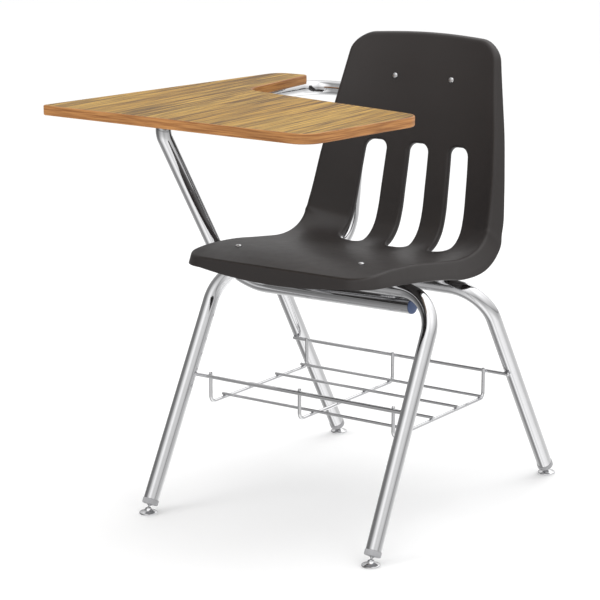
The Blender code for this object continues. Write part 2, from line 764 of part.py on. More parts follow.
def build_rack():
    front_x, front_y = beside_leg(FRONT_FOOT, FRONT_TOP, 1)
    rear_x, rear_y = beside_leg(REAR_FOOT, REAR_TOP, -1)
    overhang = 0.004
    for name, x, y in (("front", front_x, front_y), ("rear", rear_x, rear_y)):
        ends = [Vector((sign * (x + overhang), y, RACK_Z)) for sign in (-1, 1)]
        add_wire("rack_" + name + "_rail", ends, RAIL_WIRE_R, CHROME)

    beside = 2 * RAIL_WIRE_R + GAP
    tip_z = RACK_Z + 0.006
    for name, step in (("right", -1), ("middle", 0), ("left", 1)):
        x = RACK_CENTRE_X + step * RACK_PITCH_X
        corners = [
            Vector((x, front_y + beside, tip_z)),
            Vector((x, front_y + beside, RACK_FLOOR_Z)),
            Vector((x, rear_y - beside, RACK_FLOOR_Z)),
            Vector((x, rear_y - beside, tip_z)),
        ]
        path = bent_path(corners, [0.011, 0.011], step=math.radians(22.5))
        add_wire("rack_cross_wire_" + name, path, RAIL_WIRE_R, CHROME)

    floor_z = RACK_FLOOR_Z + RAIL_WIRE_R + FLOOR_WIRE_R + GAP
    reach_x = RACK_PITCH_X + 0.005
    for index in range(4):
        y = RACK_FLOOR_CENTRE_Y + (index - 1.5) * RACK_FLOOR_PITCH_Y
        ends = [Vector((RACK_CENTRE_X + sign * reach_x, y, floor_z)) for sign in (-1, 1)]
        add_wire("rack_floor_wire_" + str(index + 1), ends, FLOOR_WIRE_R, CHROME)


# ---------------------------------------------------------------- tablet
def tablet_outline():
    """The tablet's outline with its rounded corners, anticlockwise."""
    corners = [Vector((x, y, 0.0)) for x, y, _ in TABLET_CORNERS]
    count = len(corners)
    outline = []
    for index, (_, _, radius) in enumerate(TABLET_CORNERS):
        trio = [corners[index - 1], corners[index], corners[(index + 1) % count]]
        outline += bent_path(trio, [radius], step=math.radians(18))[1:-1]
    return outline


def inset(outline, distance):
    """The outline moved inward by a distance, along its mitred normals."""
    moved = []
    count = len(outline)
    for index, point in enumerate(outline):
        before = (point - outline[index - 1]).normalized()
        after = (outline[(index + 1) % count] - point).normalized()
        bisector = Vector((-before.y - after.y, before.x + after.x, 0.0)).normalized()
        inward = Vector((-before.y, before.x, 0.0))
        moved.append(point + bisector * (distance / bisector.dot(inward)))
    return moved


def extruded_mesh(name, outlines, thickness):
    """A flat piece from closed outlines; an inner outline is a hole."""
    curve = bpy.data.curves.new(name, "CURVE")
    curve.dimensions = "2D"
    curve.fill_mode = "BOTH"
    curve.extrude = thickness / 2
    for outline in outlines:
        spline = curve.splines.new("POLY")
        spline.points.add(len(outline) - 1)
        spline.use_cyclic_u = True
        for point, place in zip(spline.points, outline):
            point.co = (place.x, place.y, 0.0, 1.0)
    guide = bpy.data.objects.new(name + "_guide", curve)
    CHAIR.objects.link(guide)
    evaluated = guide.evaluated_get(bpy.context.evaluated_depsgraph_get())
    mesh = bpy.data.meshes.new_from_object(evaluated)
    mesh.name = name
    bpy.data.objects.remove(guide, do_unlink=True)
    bpy.data.curves.remove(curve)
    shape = bmesh.new()
    shape.from_mesh(mesh)
    bmesh.ops.remove_doubles(shape, verts=shape.verts, dist=0.00001)
    bmesh.ops.recalc_face_normals(shape, faces=shape.faces)
    shape.to_mesh(mesh)
    shape.free()
    return mesh


def add_flat(name, outlines, low, high, finish):
    obj = add_part(name, extruded_mesh(name, outlines, high - low), finish)
    obj.location.z = (low + high) / 2
    return obj


def rounded_rectangle(centre, size, radius):
    half_x, half_y = size[0] / 2, size[1] / 2
    corners = [
        Vector((centre[0] + sx * half_x, centre[1] + sy * half_y, 0.0))
        for sx, sy in ((-1, -1), (1, -1), (1, 1), (-1, 1))
    ]
    outline = []
    for index in range(4):
        trio = [corners[index - 1], corners[index], corners[(index + 1) % 4]]
        outline += bent_path(trio, [radius], step=math.radians(30))[1:-1]
    return outline


def screw_places():
    places = []
    for plate in PLATES.values():
        for sx, sy in ((-1, -1), (1, -1), (1, 1), (-1, 1)):
            x = plate["centre"][0] + sx * plate["screws"][0]
            y = plate["centre"][1] + sy * plate["screws"][1]
            places.append((x, y))
    return places


def screw_profile():
    """Pan-head wood screw standing on its head: the head is below the plate."""
    head = 0.0026
    top = GAP + PLATE_THICKNESS + GAP + SCREW_DEPTH
    shank = [(0.0, top), (SCREW_SHANK_R * 0.4, top), (SCREW_SHANK_R, top - 0.0030)]
    shank += [(SCREW_SHANK_R, 0.0), (SCREW_HEAD_R, 0.0)]
    return shank + [(SCREW_HEAD_R, -head * 0.5), (SCREW_HEAD_R * 0.7, -head), (0.0, -head)]


def build_tablet():
    outline = tablet_outline()
    inside = inset(outline, EDGE_BAND + GAP)
    band_inside = inset(outline, EDGE_BAND)
    laminate_low = TABLET_TOP - LAMINATE
    backing_high = TABLET_UNDERSIDE + BACKING
    add_flat("tablet_edge_band", [outline, band_inside], TABLET_UNDERSIDE, TABLET_TOP, OAK_EDGE)
    add_flat("tablet_top_laminate", [inside], laminate_low, TABLET_TOP, OAK)
    core = add_flat("tablet_core", [inside], backing_high + GAP, laminate_low - GAP, BOARD)
    backing = add_flat("tablet_backing_sheet", [inside], TABLET_UNDERSIDE, backing_high, BACKER)

    plates = []
    for name, plate in PLATES.items():
        rectangle = rounded_rectangle(plate["centre"], plate["size"], 0.010)
        low = PLATE_Z - PLATE_THICKNESS / 2
        part = "tablet_plate_" + name
        plates.append(add_flat(part, [rectangle], low, low + PLATE_THICKNESS, STEEL))

    up = Vector((0.0, 0.0, 1.0))
    seat_z = PLATE_Z - PLATE_THICKNESS / 2 - GAP
    pilot_top = seat_z + GAP + PLATE_THICKNESS + GAP + SCREW_DEPTH + GAP
    pilot_low = TABLET_UNDERSIDE - 0.005
    for index, (x, y) in enumerate(screw_places()):
        number = str(index + 1)
        screw = add_turned("tablet_screw_" + number, screw_profile(), STEEL, steps=12)
        screw.location = (x, y, seat_z)
        hole = Vector((x, y, (pilot_low + pilot_top) / 2))
        for obj in (core, backing):
            drill(obj, hole, up, SCREW_HOLE_R, pilot_top - pilot_low, "pilot_" + obj.name + number)
        plate = plates[index // 4]
        drill(plate, Vector((x, y, PLATE_Z)), up, SCREW_HOLE_R, 0.010, "plate_hole_" + number)


# ---------------------------------------------------------------- rivets
def rivet_profile(grip):
    """Domed rivet with its head above z = 0 and its set end below the grip."""
    dome = [(0.0, 0.0022), (0.0018, 0.0020), (0.0036, 0.0013), (RIVET_HEAD_R, 0.0)]
    set_r = RIVET_SHANK_R + 0.0010
    shank = [(RIVET_SHANK_R, 0.0), (RIVET_SHANK_R, -grip)]
    return dome + shank + [(set_r, -grip), (set_r * 0.8, -grip - 0.0018), (0.0, -grip - 0.0018)]


def build_rivet(name, target, shell, hoop):
    """Rivet the shell to the hoop tube, square to the shell, on a line through the tube."""
    surface = SURFACE.nearest(target)
    outward = (surface - target).normalized()
    distance = (surface - target).length
    grip = distance - HOOP_R + TUBE_WALL + RIVET_SET_DROP
    head_gap = 0.0008
    spacer_high = -SHELL_WALL - 3 * GAP
    spacer_low = HOOP_R + SPACER_CLEARANCE - distance
    ring = [(RIVET_HOLE_R, spacer_high), (SPACER_R, spacer_high)]
    ring += [(SPACER_R, spacer_low), (RIVET_HOLE_R, spacer_low)]
    spacer = add_turned(name.replace("rivet", "spacer"), ring, NYLON, ring=True)
    place_along(spacer, surface, outward)
    rivet = add_turned(name, rivet_profile(grip + head_gap), STEEL, steps=16)
    place_along(rivet, surface + outward * head_gap, outward)
    drill(shell, surface, outward, RIVET_HOLE_R, 0.030, "hole_shell_" + name)
    drill(hoop, target + outward * HOOP_R, outward, RIVET_HOLE_R, 0.012, "hole_hoop_" + name)


def build_rivets(shell, hoop):
    for side, sign in SIDES.items():
        rail = hoop_rail(SEAT_RIVET_Y)
        rail.x *= sign
        build_rivet("seat_rivet_" + side, rail, shell, hoop)
        bar = Vector((sign * BACK_RIVET_X, HOOP_TOP.y, HOOP_TOP.z))
        build_rivet("back_rivet_" + side, bar, shell, hoop)


def centre_on_base():
    """Move the assembly so that the origin is the centre of its box's base."""
    bpy.context.view_layer.update()
    graph = bpy.context.evaluated_depsgraph_get()
    points = []
    for obj in CHAIR.objects:
        if obj.type == "MESH":
            evaluated = obj.evaluated_get(graph)
            points += [evaluated.matrix_world @ vert.co for vert in evaluated.data.vertices]
    centre = [(min(p[axis] for p in points) + max(p[axis] for p in points)) / 2 for axis in (0, 1)]
    ROOT.location = (-centre[0], -centre[1], 0.0)
    bpy.context.view_layer.update()


SHELL = build_shell()
HOOP = build_hoop()
build_leg_frame("front_leg_frame", FRONT_FOOT, FRONT_TOP, FRONT_BEND_R)
build_leg_frame("rear_leg_frame", REAR_FOOT, REAR_TOP, REAR_BEND_R)
build_support()
build_end_plugs()
build_rivets(SHELL, HOOP)
build_tablet()
build_rack()
build_glides()
centre_on_base()
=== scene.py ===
"""Looks of the student combo chair: moulded shell, chrome tube, oak tablet and wire rack.

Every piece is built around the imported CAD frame, in metres. Sizes that the looks share with the
CAD are in the chair's own frame: x = 0 is the seat's centre line, y = 0 is midway between the
front and rear feet and z = 0 is the floor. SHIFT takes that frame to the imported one.
"""

import bisect
import json
import math
import random

import bmesh
import bpy
from mathutils import Matrix, Vector

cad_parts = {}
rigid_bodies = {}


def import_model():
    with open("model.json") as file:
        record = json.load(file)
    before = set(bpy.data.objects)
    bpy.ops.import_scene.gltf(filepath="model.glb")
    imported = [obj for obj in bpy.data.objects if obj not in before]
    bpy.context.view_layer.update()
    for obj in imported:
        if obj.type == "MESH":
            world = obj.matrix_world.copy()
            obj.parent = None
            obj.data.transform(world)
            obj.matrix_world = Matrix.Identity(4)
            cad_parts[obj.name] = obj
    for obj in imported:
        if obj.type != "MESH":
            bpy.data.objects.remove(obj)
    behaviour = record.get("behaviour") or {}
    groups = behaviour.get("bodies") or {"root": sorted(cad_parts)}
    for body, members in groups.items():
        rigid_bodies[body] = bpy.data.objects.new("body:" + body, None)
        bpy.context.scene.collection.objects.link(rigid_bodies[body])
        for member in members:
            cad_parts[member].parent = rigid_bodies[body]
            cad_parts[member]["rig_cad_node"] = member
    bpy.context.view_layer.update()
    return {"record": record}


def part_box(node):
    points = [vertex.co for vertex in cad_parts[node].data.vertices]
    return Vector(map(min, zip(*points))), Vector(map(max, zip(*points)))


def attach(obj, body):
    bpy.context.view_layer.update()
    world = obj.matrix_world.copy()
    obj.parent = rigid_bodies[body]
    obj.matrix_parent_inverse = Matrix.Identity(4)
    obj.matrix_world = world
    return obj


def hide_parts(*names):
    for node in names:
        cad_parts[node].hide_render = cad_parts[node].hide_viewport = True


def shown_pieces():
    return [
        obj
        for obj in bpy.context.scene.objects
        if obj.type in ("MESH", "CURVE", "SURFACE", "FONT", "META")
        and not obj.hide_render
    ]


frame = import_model()

X_AXIS = Vector((1.0, 0.0, 0.0))
Y_AXIS = Vector((0.0, 1.0, 0.0))
Z_AXIS = Vector((0.0, 0.0, 1.0))
ENDS = ("front", "rear")
SIDES = {"left": 1, "right": -1}


def glide_shift():
    """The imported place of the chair's own origin, midway between its four glides."""
    total = Vector((0.0, 0.0, 0.0))
    for end in ENDS:
        for side in SIDES:
            low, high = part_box("glide_base_" + end + "_" + side)
            total += (Vector(low) + Vector(high)) / 8
    return Vector((total.x, total.y, 0.0))


SHIFT = glide_shift()

# ---- sizes shared with the CAD
GAP = 0.0003
TUBE_R = 0.0127
HOOP_R = 0.0111
TUBE_WALL = 0.0016
PLUG_CLEARANCE = 0.0006
PLUG_DEPTH = 0.0110
PLUG_SETBACK = 0.0004

FRONT_FOOT = Vector((0.2184, -0.2826, 0.0))
FRONT_TOP = Vector((0.2120, -0.0830, 0.3885))
FRONT_BEND_R = 0.067
REAR_FOOT = Vector((0.2180, 0.2826, 0.0))
REAR_TOP = Vector((0.2130, 0.0590, 0.3681))
REAR_BEND_R = 0.063

HOOP_FRONT_X = 0.118
HOOP_REAR_X = 0.132
HOOP_FRONT_Y = -0.182
HOOP_KNEE_Y = -0.097
HOOP_FRONT_SLOPE = 0.090
HOOP_RAIL_SLOPE = 0.142
HOOP_CORNER_Y = 0.188
HOOP_TOP = Vector((0.0, 0.2285, 0.682))
HOOP_LEAN = 0.14
HOOP_BENDS = (0.150, 0.068, 0.050)

TABLET_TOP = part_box("tablet_top_laminate")[1][2]
TABLET_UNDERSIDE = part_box("tablet_backing_sheet")[0][2]
LAMINATE = 0.0010
BACKING = 0.0008
EDGE_BAND = 0.0025
PLATE_THICKNESS = 0.0025
TABLET_CORNERS = (
    (-0.3475, -0.3745, 0.008),
    (0.1712, -0.3870, 0.034),
    (0.2065, -0.1255, 0.036),
    (-0.1900, -0.0410, 0.042),
    (-0.2110, 0.1720, 0.010),
    (-0.2760, 0.1690, 0.030),
)

SUPPORT_END = Vector((0.160, -0.0765, 0.3622))
SUPPORT_LOW = Vector((-0.2265, -0.0397, 0.3485))
SUPPORT_ARM_X = -0.2560
SUPPORT_ARM_FRONT_Y = -0.2020
SUPPORT_REAR_Y = 0.2480
SUPPORT_REAR_END_X = 0.1250
SUPPORT_BENDS = (0.084, 0.027, 0.050)

SHELL_WALL = 0.0045
SHELL_ROLL_R = 0.0060
SHELL_FLARE = math.radians(20)
SHELL_BOWL = 3.0
FRONT_CORNER_R = 0.031
FRONT_FLANGE_DROP = 0.0095
TOP_CROWN_REACH = 0.120
SLOT_PITCH_U = 0.5
SLOT_HALF_WIDTH = 0.0261
SLOT_CORNER_R = 0.0200
SLOT_LIP_ROLL_R = 0.0050
SLOT_LIP_DEPTH = 0.0085
SLOT_LIP_FLARE = math.radians(3)
SLOT_LOW_Y = 0.1130
SIDE_SLOT_EXTRA = 0.0070
SLOT_HIGH_Z = 0.5780

# Rows along the shell's centre line: y, z, half width, lift of the rim, depth of the flange.
SHELL_STATIONS = (
    (-0.2340, 0.4345, 0.1690, 0.0010, 0.0155),
    (-0.1950, 0.4400, 0.1715, -0.0005, 0.0222),
    (-0.1500, 0.4420, 0.1730, -0.0020, 0.0255),
    (-0.0910, 0.4368, 0.1745, -0.0005, 0.0277),
    (-0.0200, 0.4258, 0.1755, 0.0015, 0.0280),
    (0.0450, 0.4140, 0.1762, 0.0070, 0.0320),
    (0.0950, 0.4072, 0.1768, 0.0215, 0.0350),
    (0.1350, 0.4112, 0.1765, 0.0400, 0.0360),
    (0.1600, 0.4300, 0.1755, 0.0430, 0.0275),
    (0.1735, 0.4600, 0.1740, 0.0430, 0.0262),
    (0.1820, 0.5005, 0.1710, 0.0385, 0.0225),
    (0.1910, 0.5460, 0.1665, 0.0350, 0.0195),
    (0.2002, 0.6006, 0.1590, 0.0290, 0.0172),
    (0.2068, 0.6550, 0.1500, 0.0220, 0.0148),
    (0.2136, 0.7040, 0.1425, 0.0160, 0.0120),
    (0.2240, 0.7540, 0.1350, 0.0130, 0.0100),
)

RACK_Z = 0.2110
RACK_FLOOR_Z = 0.1650
RACK_CENTRE_X = -0.006
RACK_PITCH_X = 0.180
RACK_FLOOR_CENTRE_Y = 0.0030
RACK_FLOOR_PITCH_Y = 0.0773
RAIL_WIRE_R = 0.0030
FLOOR_WIRE_R = 0.0025
RAIL_OVERHANG = 0.004
SHELF_OVERHANG = 0.005
BASKET_TIP = 0.006
BASKET_BEND_R = 0.011

BALL_Z = 0.0080
BALL_R = 0.0036
SOCKET_R = 0.00385
COLLAR_LOW = 0.0075
COLLAR_HIGH = 0.0165
COLLAR_R = 0.0135
STUD_R = 0.0030
STUD_TOP = 0.0300
SLEEVE_TOP = 0.0360

RIVET_HEAD_R = 0.0050
RIVET_DOME = 0.0022
RIVET_GAP = 0.0008
SEAT_RIVET_Y = -0.162
BACK_RIVET_X = 0.056

# ---- sizes of the looks only
TUBE_SIDES = 40
WIRE_SIDES = 20
WIRE_END_LENGTH = 0.35
WIRE_END_SCALE = 0.72
TURN_STEPS = 48
MERGE_REACH = 0.00001
PLUG_RIM = 0.0012
PLUG_DOME = 0.0022
RIVET_SHANK_R = 0.0024
RIVET_DEPTH = 0.0040
FINE_STEP = math.radians(4)
WIRE_STEP = math.radians(7.5)
EDGE_ROUND = 0.0022
SHEET_GAP = 0.00005
GRAIN_TURN = math.radians(-1.5)  # the oak grain's lean from front-to-back towards +X

# The back's top is a little rounder than the CAD's, and the sheet's normal is smoothed over an
# arc length to each side, because a mesh as fine as this one would show a crease.
TOP_CORNER_R = 0.030
TOP_CROWN = 0.0095
NORMAL_REACH = 0.018

# Weld beads: distance from the line of contact, length and radius.
HOOP_WELD = (0.0062, 0.015, 0.0023)
UPRIGHT_WELD = (0.0062, 0.015, 0.0020)
SUPPORT_WELD = (0.0058, 0.028, 0.0025)
LEG_WELD = (0.0028, 0.011, 0.0014)
BASKET_WELD = (0.0018, 0.006, 0.0011)
SHELF_WELD = (0.0018, 0.005, 0.0010)
# The support's two welds to the front crossbar: the first one's x, the shift of each along x,
# and how far the contact rises in y and z for each metre of x.
SUPPORT_WELD_X = 0.120
SUPPORT_WELD_SHIFTS = (0.0, -0.150)
CONTACT_SLOPE_Y = -0.048
CONTACT_SLOPE_Z = 0.018

CAMERA_PLACE = Vector((1.911, -2.916, 1.161))
CAMERA_TARGET = Vector((-0.110, 0.0, 0.3212))
CAMERA_LENS = 129.24
FLOOR_R = 60.0
LIGHT_TARGET = Vector((0.0, 0.0, 0.42))
ROOM_WHITE = (1.1, 1.1, 1.1)

# Brightness of what shiny metal sees, as (place, value): PANELS go once around the chair with
# the camera's side at 0.5, and HEIGHTS go from straight down to straight up.
PANELS = (
    (0.00, 0.90), (0.10, 0.60), (0.17, 0.34), (0.23, 0.26), (0.28, 0.34), (0.32, 0.60),
    (0.36, 0.82), (0.42, 1.15), (0.455, 1.15), (0.50, 0.95), (0.52, 0.82), (0.56, 0.98),
    (0.62, 1.12), (0.70, 1.02), (0.77, 0.95), (0.85, 1.25), (0.93, 1.40), (1.00, 0.90),
)
HEIGHTS = (
    (0.00, 1.10), (0.20, 1.05), (0.32, 0.72), (0.42, 0.60), (0.485, 0.55), (0.505, 0.26),
    (0.53, 0.46), (0.60, 0.68), (0.72, 0.90), (0.86, 1.30), (1.00, 1.40),
)


# ---- materials
class Nodes:
    """A node tree with short calls for the nodes that the finishes and the studio share."""

    def __init__(self, tree):
        self.tree = tree

    def give(self, target, value):
        """Link an input to another node's output, or set it to a number or a tuple."""
        if isinstance(value, bpy.types.NodeSocket):
            self.tree.links.new(value, target)
        elif isinstance(target, bpy.types.NodeSocketColor):
            target.default_value = (*value, 1.0)
        else:
            target.default_value = value

    def add(self, kind, inputs):
        """A new node whose inputs, by name or number, are given what the dictionary says."""
        node = self.tree.nodes.new("ShaderNode" + kind)
        for key, value in inputs.items():
            self.give(node.inputs[key], value)
        return node

    def ramp(self, source, stops):
        """Colour ramp; each stop is a place from 0 to 1 and a grey value or a colour."""
        node = self.add("ValToRGB", {"Fac": source})
        elements = node.color_ramp.elements
        while len(elements) < len(stops):
            elements.new(0.5)
        for element, (place, value) in zip(elements, stops):
            colour = value if isinstance(value, tuple) else (value, value, value)
            element.position = place
            element.color = (*colour, 1.0)
        return node.outputs["Color"]

    def mix(self, share, first, second, blend="MIX"):
        """Mix of two colours, each a tuple or a socket."""
        node = self.add("Mix", {})
        node.data_type = "RGBA"
        node.blend_type = blend
        for number, value in ((0, share), (6, first), (7, second)):
            self.give(node.inputs[number], value)
        return node.outputs[2]


class Shading(Nodes):
    """A material whose shader is fed by the shared nodes, in object coordinates."""

    def __init__(self, name, colour, roughness, metallic=0.0):
        self.material = bpy.data.materials.new(name)
        self.material.use_nodes = True
        self.material.diffuse_color = (*colour, 1.0)
        super().__init__(self.material.node_tree)
        self.shader = self.tree.nodes["Principled BSDF"]
        self.set("Base Color", colour)
        self.set("Roughness", roughness)
        self.set("Metallic", metallic)
        self.place = self.add("TexCoord", {}).outputs["Object"]

    def set(self, name, value):
        self.give(self.shader.inputs[name], value)

    def noise(self, scale, detail=2.0, distortion=0.0, roughness=0.5, place=None):
        inputs = {
            "Vector": place or self.place,
            "Scale": scale,
            "Detail": detail,
            "Roughness": roughness,
            "Distortion": distortion,
        }
        return self.add("TexNoise", inputs).outputs["Fac"]

    def grain(self, scale, detail, distortion=0.0, roughness=0.5, turn=GRAIN_TURN):
        """Noise in coordinates turned about Z, then scaled along each axis."""
        turned = self.add("Mapping", {"Rotation": (0.0, 0.0, turn), "Vector": self.place})
        scaled = self.add("Mapping", {"Scale": scale, "Vector": turned.outputs[0]})
        return self.noise(1.0, detail, distortion, roughness, scaled.outputs[0])

    def bump(self, height, strength, distance):
        """Add a bump under any earlier one."""
        node = self.add("Bump", {"Strength": strength, "Distance": distance, "Height": height})
        for link in self.shader.inputs["Normal"].links:
            self.give(node.inputs["Normal"], link.from_socket)
        self.set("Normal", node.outputs[0])

    def roughness_from(self, source, low, high):
        """Roughness that follows a grey value between two limits."""
        node = self.add("MapRange", {"To Min": low, "To Max": high, "Value": source})
        self.set("Roughness", node.outputs["Result"])


def shell_plastic():
    """Satin moulded polypropylene: fine pebble texture, faint flow marks and scuffs."""
    look = Shading("shell_plastic", (0.045, 0.040, 0.039), 0.42)
    flow = look.noise(7.0, detail=3.0)
    look.set("Base Color", look.mix(flow, (0.0205, 0.0168, 0.0158), (0.0275, 0.0226, 0.0214)))
    look.roughness_from(look.noise(60.0, detail=5.0), 0.38, 0.50)
    look.bump(look.noise(1500.0, detail=2.0), 0.10, 0.0002)
    look.bump(look.noise(320.0, detail=3.0), 0.06, 0.0002)
    return look.material


def chrome(name="chrome", low=0.05, high=0.11):
    """Bright chrome plate: slight waves in the tube and a trace of haze."""
    look = Shading(name, (0.80, 0.80, 0.82), 0.08, metallic=1.0)
    haze = look.noise(45.0, detail=4.0)
    look.set("Base Color", look.mix(haze, (0.70, 0.70, 0.71), (0.78, 0.78, 0.79)))
    look.roughness_from(haze, low, high)
    look.bump(look.noise(24.0, detail=1.0), 0.05, 0.0010)
    look.bump(look.noise(900.0, detail=2.0), 0.015, 0.0001)
    return look.material


def weld_metal():
    """Plated weld bead: lumpy and duller than the tube."""
    look = Shading("weld_chrome", (0.62, 0.62, 0.64), 0.25, metallic=1.0)
    lumps = look.noise(420.0, detail=3.0)
    look.set("Base Color", look.mix(lumps, (0.48, 0.48, 0.50), (0.74, 0.74, 0.76)))
    look.roughness_from(lumps, 0.16, 0.34)
    look.bump(lumps, 0.5, 0.0004)
    return look.material


def oak_laminate():
    """Satin oak-grain laminate: long wavy streaks, fine lines and short dark pores."""
    look = Shading("oak_laminate", (0.41, 0.24, 0.075), 0.40)
    broad = look.grain((16.0, 1.5, 1.0), 3.0, 0.8)
    streak = look.grain((175.0, 4.0, 1.0), 5.0, 0.6, 0.62)
    fine = look.grain((330.0, 8.0, 1.0), 4.0, 0.3)
    pores = look.grain((650.0, 22.0, 1.0), 2.0, 0.2)
    ground = look.ramp(broad, ((0.36, (0.365, 0.198, 0.031)), (0.64, (0.478, 0.282, 0.054))))
    dark = look.ramp(streak, ((0.43, 1.0), (0.52, 0.0)))
    base = look.mix(dark, ground, (0.120, 0.056, 0.011))
    base = look.mix(0.10, base, ground)
    lines = look.ramp(fine, ((0.42, 0.60), (0.58, 1.16)))
    base = look.mix(0.85, base, lines, "MULTIPLY")
    specks = look.ramp(pores, ((0.32, 0.40), (0.44, 1.0)))
    base = look.mix(0.6, base, specks, "MULTIPLY")
    look.set("Base Color", base)
    look.roughness_from(fine, 0.46, 0.58)
    look.set("Specular IOR Level", 0.35)
    look.bump(pores, 0.08, 0.0002)
    return look.material


def edge_band():
    """Warm oak edge band whose faint grain runs around the board."""
    look = Shading("edge_band", (0.56, 0.235, 0.078), 0.42)
    streak = look.grain((16.0, 16.0, 420.0), 5.0, 0.3, turn=0.0)
    tone = look.noise(9.0, detail=3.0)
    base = look.ramp(streak, ((0.38, (0.265, 0.100, 0.022)), (0.62, (0.470, 0.212, 0.060))))
    base = look.mix(0.5, base, look.ramp(tone, ((0.3, 0.78), (0.7, 1.12))), "MULTIPLY")
    look.set("Base Color", base)
    look.roughness_from(streak, 0.36, 0.50)
    look.bump(streak, 0.10, 0.0002)
    return look.material


def particleboard():
    """Raw pressed board, chips of mixed tones."""
    look = Shading("particleboard", (0.45, 0.33, 0.20), 0.85)
    chips = look.noise(260.0, detail=5.0)
    tones = look.ramp(chips, ((0.35, (0.28, 0.19, 0.10)), (0.65, (0.58, 0.44, 0.28))))
    look.set("Base Color", tones)
    look.roughness_from(chips, 0.75, 0.92)
    look.bump(chips, 0.4, 0.0006)
    return look.material


def backing_sheet():
    """Dark brown backing sheet with a fibrous, matte face."""
    look = Shading("backing_sheet", (0.20, 0.15, 0.11), 0.60)
    fibres = look.grain((260.0, 60.0, 60.0), 5.0, turn=0.4)
    look.set("Base Color", look.mix(fibres, (0.145, 0.105, 0.075), (0.255, 0.195, 0.145)))
    look.roughness_from(fibres, 0.52, 0.70)
    look.bump(fibres, 0.12, 0.0002)
    return look.material


def zinc_steel():
    """Zinc-plated steel: grey with faint spangle and brushing."""
    look = Shading("zinc_steel", (0.62, 0.62, 0.64), 0.30, metallic=1.0)
    brushed = look.grain((900.0, 60.0, 200.0), 4.0, turn=0.0)
    spangle = look.noise(90.0, detail=3.0)
    look.set("Base Color", look.mix(spangle, (0.52, 0.53, 0.55), (0.72, 0.72, 0.73)))
    look.roughness_from(brushed, 0.24, 0.40)
    look.bump(brushed, 0.08, 0.0001)
    return look.material


def moulded(name, colour, roughness, mottle, tones, grain, relief):
    """Small moulded plastic part: mottled in tone and shine, with a fine grain."""
    look = Shading(name, colour, roughness)
    patches = look.noise(mottle, detail=3.0)
    look.set("Base Color", look.mix(patches, *tones))
    look.roughness_from(patches, roughness - 0.08, roughness + 0.08)
    look.bump(look.noise(grain), relief, 0.0001)
    return look.material


def sleeve_nylon():
    tones = ((0.30, 0.30, 0.31), (0.40, 0.40, 0.41))
    return moulded("glide_nylon", (0.52, 0.52, 0.53), 0.42, 160.0, tones, 1400.0, 0.08)


def plug_plastic():
    tones = ((0.048, 0.076, 0.165), (0.070, 0.108, 0.225))
    return moulded("plug_plastic", (0.075, 0.120, 0.265), 0.48, 220.0, tones, 1200.0, 0.10)


def pale_floor():
    """Plain pale studio floor with a trace of tone."""
    look = Shading("studio_floor", (0.92, 0.92, 0.92), 0.75)
    look.set("Base Color", look.mix(look.noise(0.8), (0.905, 0.905, 0.905), (0.935, 0.935, 0.935)))
    look.set("Specular IOR Level", 0.2)
    return look.material


FINISHES = {
    "shell_plastic": shell_plastic(),
    "chrome": chrome(),
    "oak_laminate": oak_laminate(),
    "edge_band": edge_band(),
    "particleboard": particleboard(),
    "backing_sheet": backing_sheet(),
    "zinc_steel": zinc_steel(),
    "glide_steel": chrome("glide_steel", 0.09, 0.18),
    "glide_nylon": sleeve_nylon(),
    "plug_plastic": plug_plastic(),
    "rivet_metal": chrome("rivet_metal", 0.22, 0.34),
}
WELD = weld_metal()


# ---- building helpers
def add_object(name, data):
    obj = bpy.data.objects.new(name, data)
    bpy.context.scene.collection.objects.link(obj)
    return obj


def mesh_from(shape, name):
    """The mesh of a bmesh, which is freed."""
    mesh = bpy.data.meshes.new(name)
    shape.to_mesh(mesh)
    shape.free()
    return mesh


def add_piece(name, mesh, finish, replaced=(), body="chair", smooth_angle=35):
    """Put a mesh, made in the chair's own frame, into the scene as a finished piece."""
    obj = add_object(name, mesh)
    obj.location = SHIFT
    mesh.materials.clear()
    mesh.materials.append(FINISHES[finish])
    mesh.shade_smooth()
    mesh.set_sharp_from_angle(angle=math.radians(smooth_angle))
    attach(obj, body)
    if replaced:
        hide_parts(*replaced)
    return obj


def apply_modifiers(obj):
    """Turn a piece's modifiers into plain mesh."""
    graph = bpy.context.evaluated_depsgraph_get()
    mesh = bpy.data.meshes.new_from_object(obj.evaluated_get(graph))
    mesh.name = obj.name
    obj.modifiers.clear()
    obj.data = mesh


def bent_path(corners, radii, step=FINE_STEP):
    """Points along straight runs joined by arcs; one radius for each inner corner."""
    path = [corners[0].copy()]
    for before, corner, after, radius in zip(corners, corners[1:], corners[2:], radii):
        back = (before - corner).normalized()
        ahead = (after - corner).normalized()
        turn = math.pi - back.angle(ahead)
        reach = radius * math.tan(turn / 2)
        centre = corner + (back + ahead).normalized() * math.hypot(radius, reach)
        start = corner + back * reach - centre
        axis = start.cross(corner + ahead * reach - centre).normalized()
        count = max(2, math.ceil(turn / step))
        for index in range(count + 1):
            path.append(centre + Matrix.Rotation(turn * index / count, 3, axis) @ start)
    path.append(corners[-1].copy())
    return path


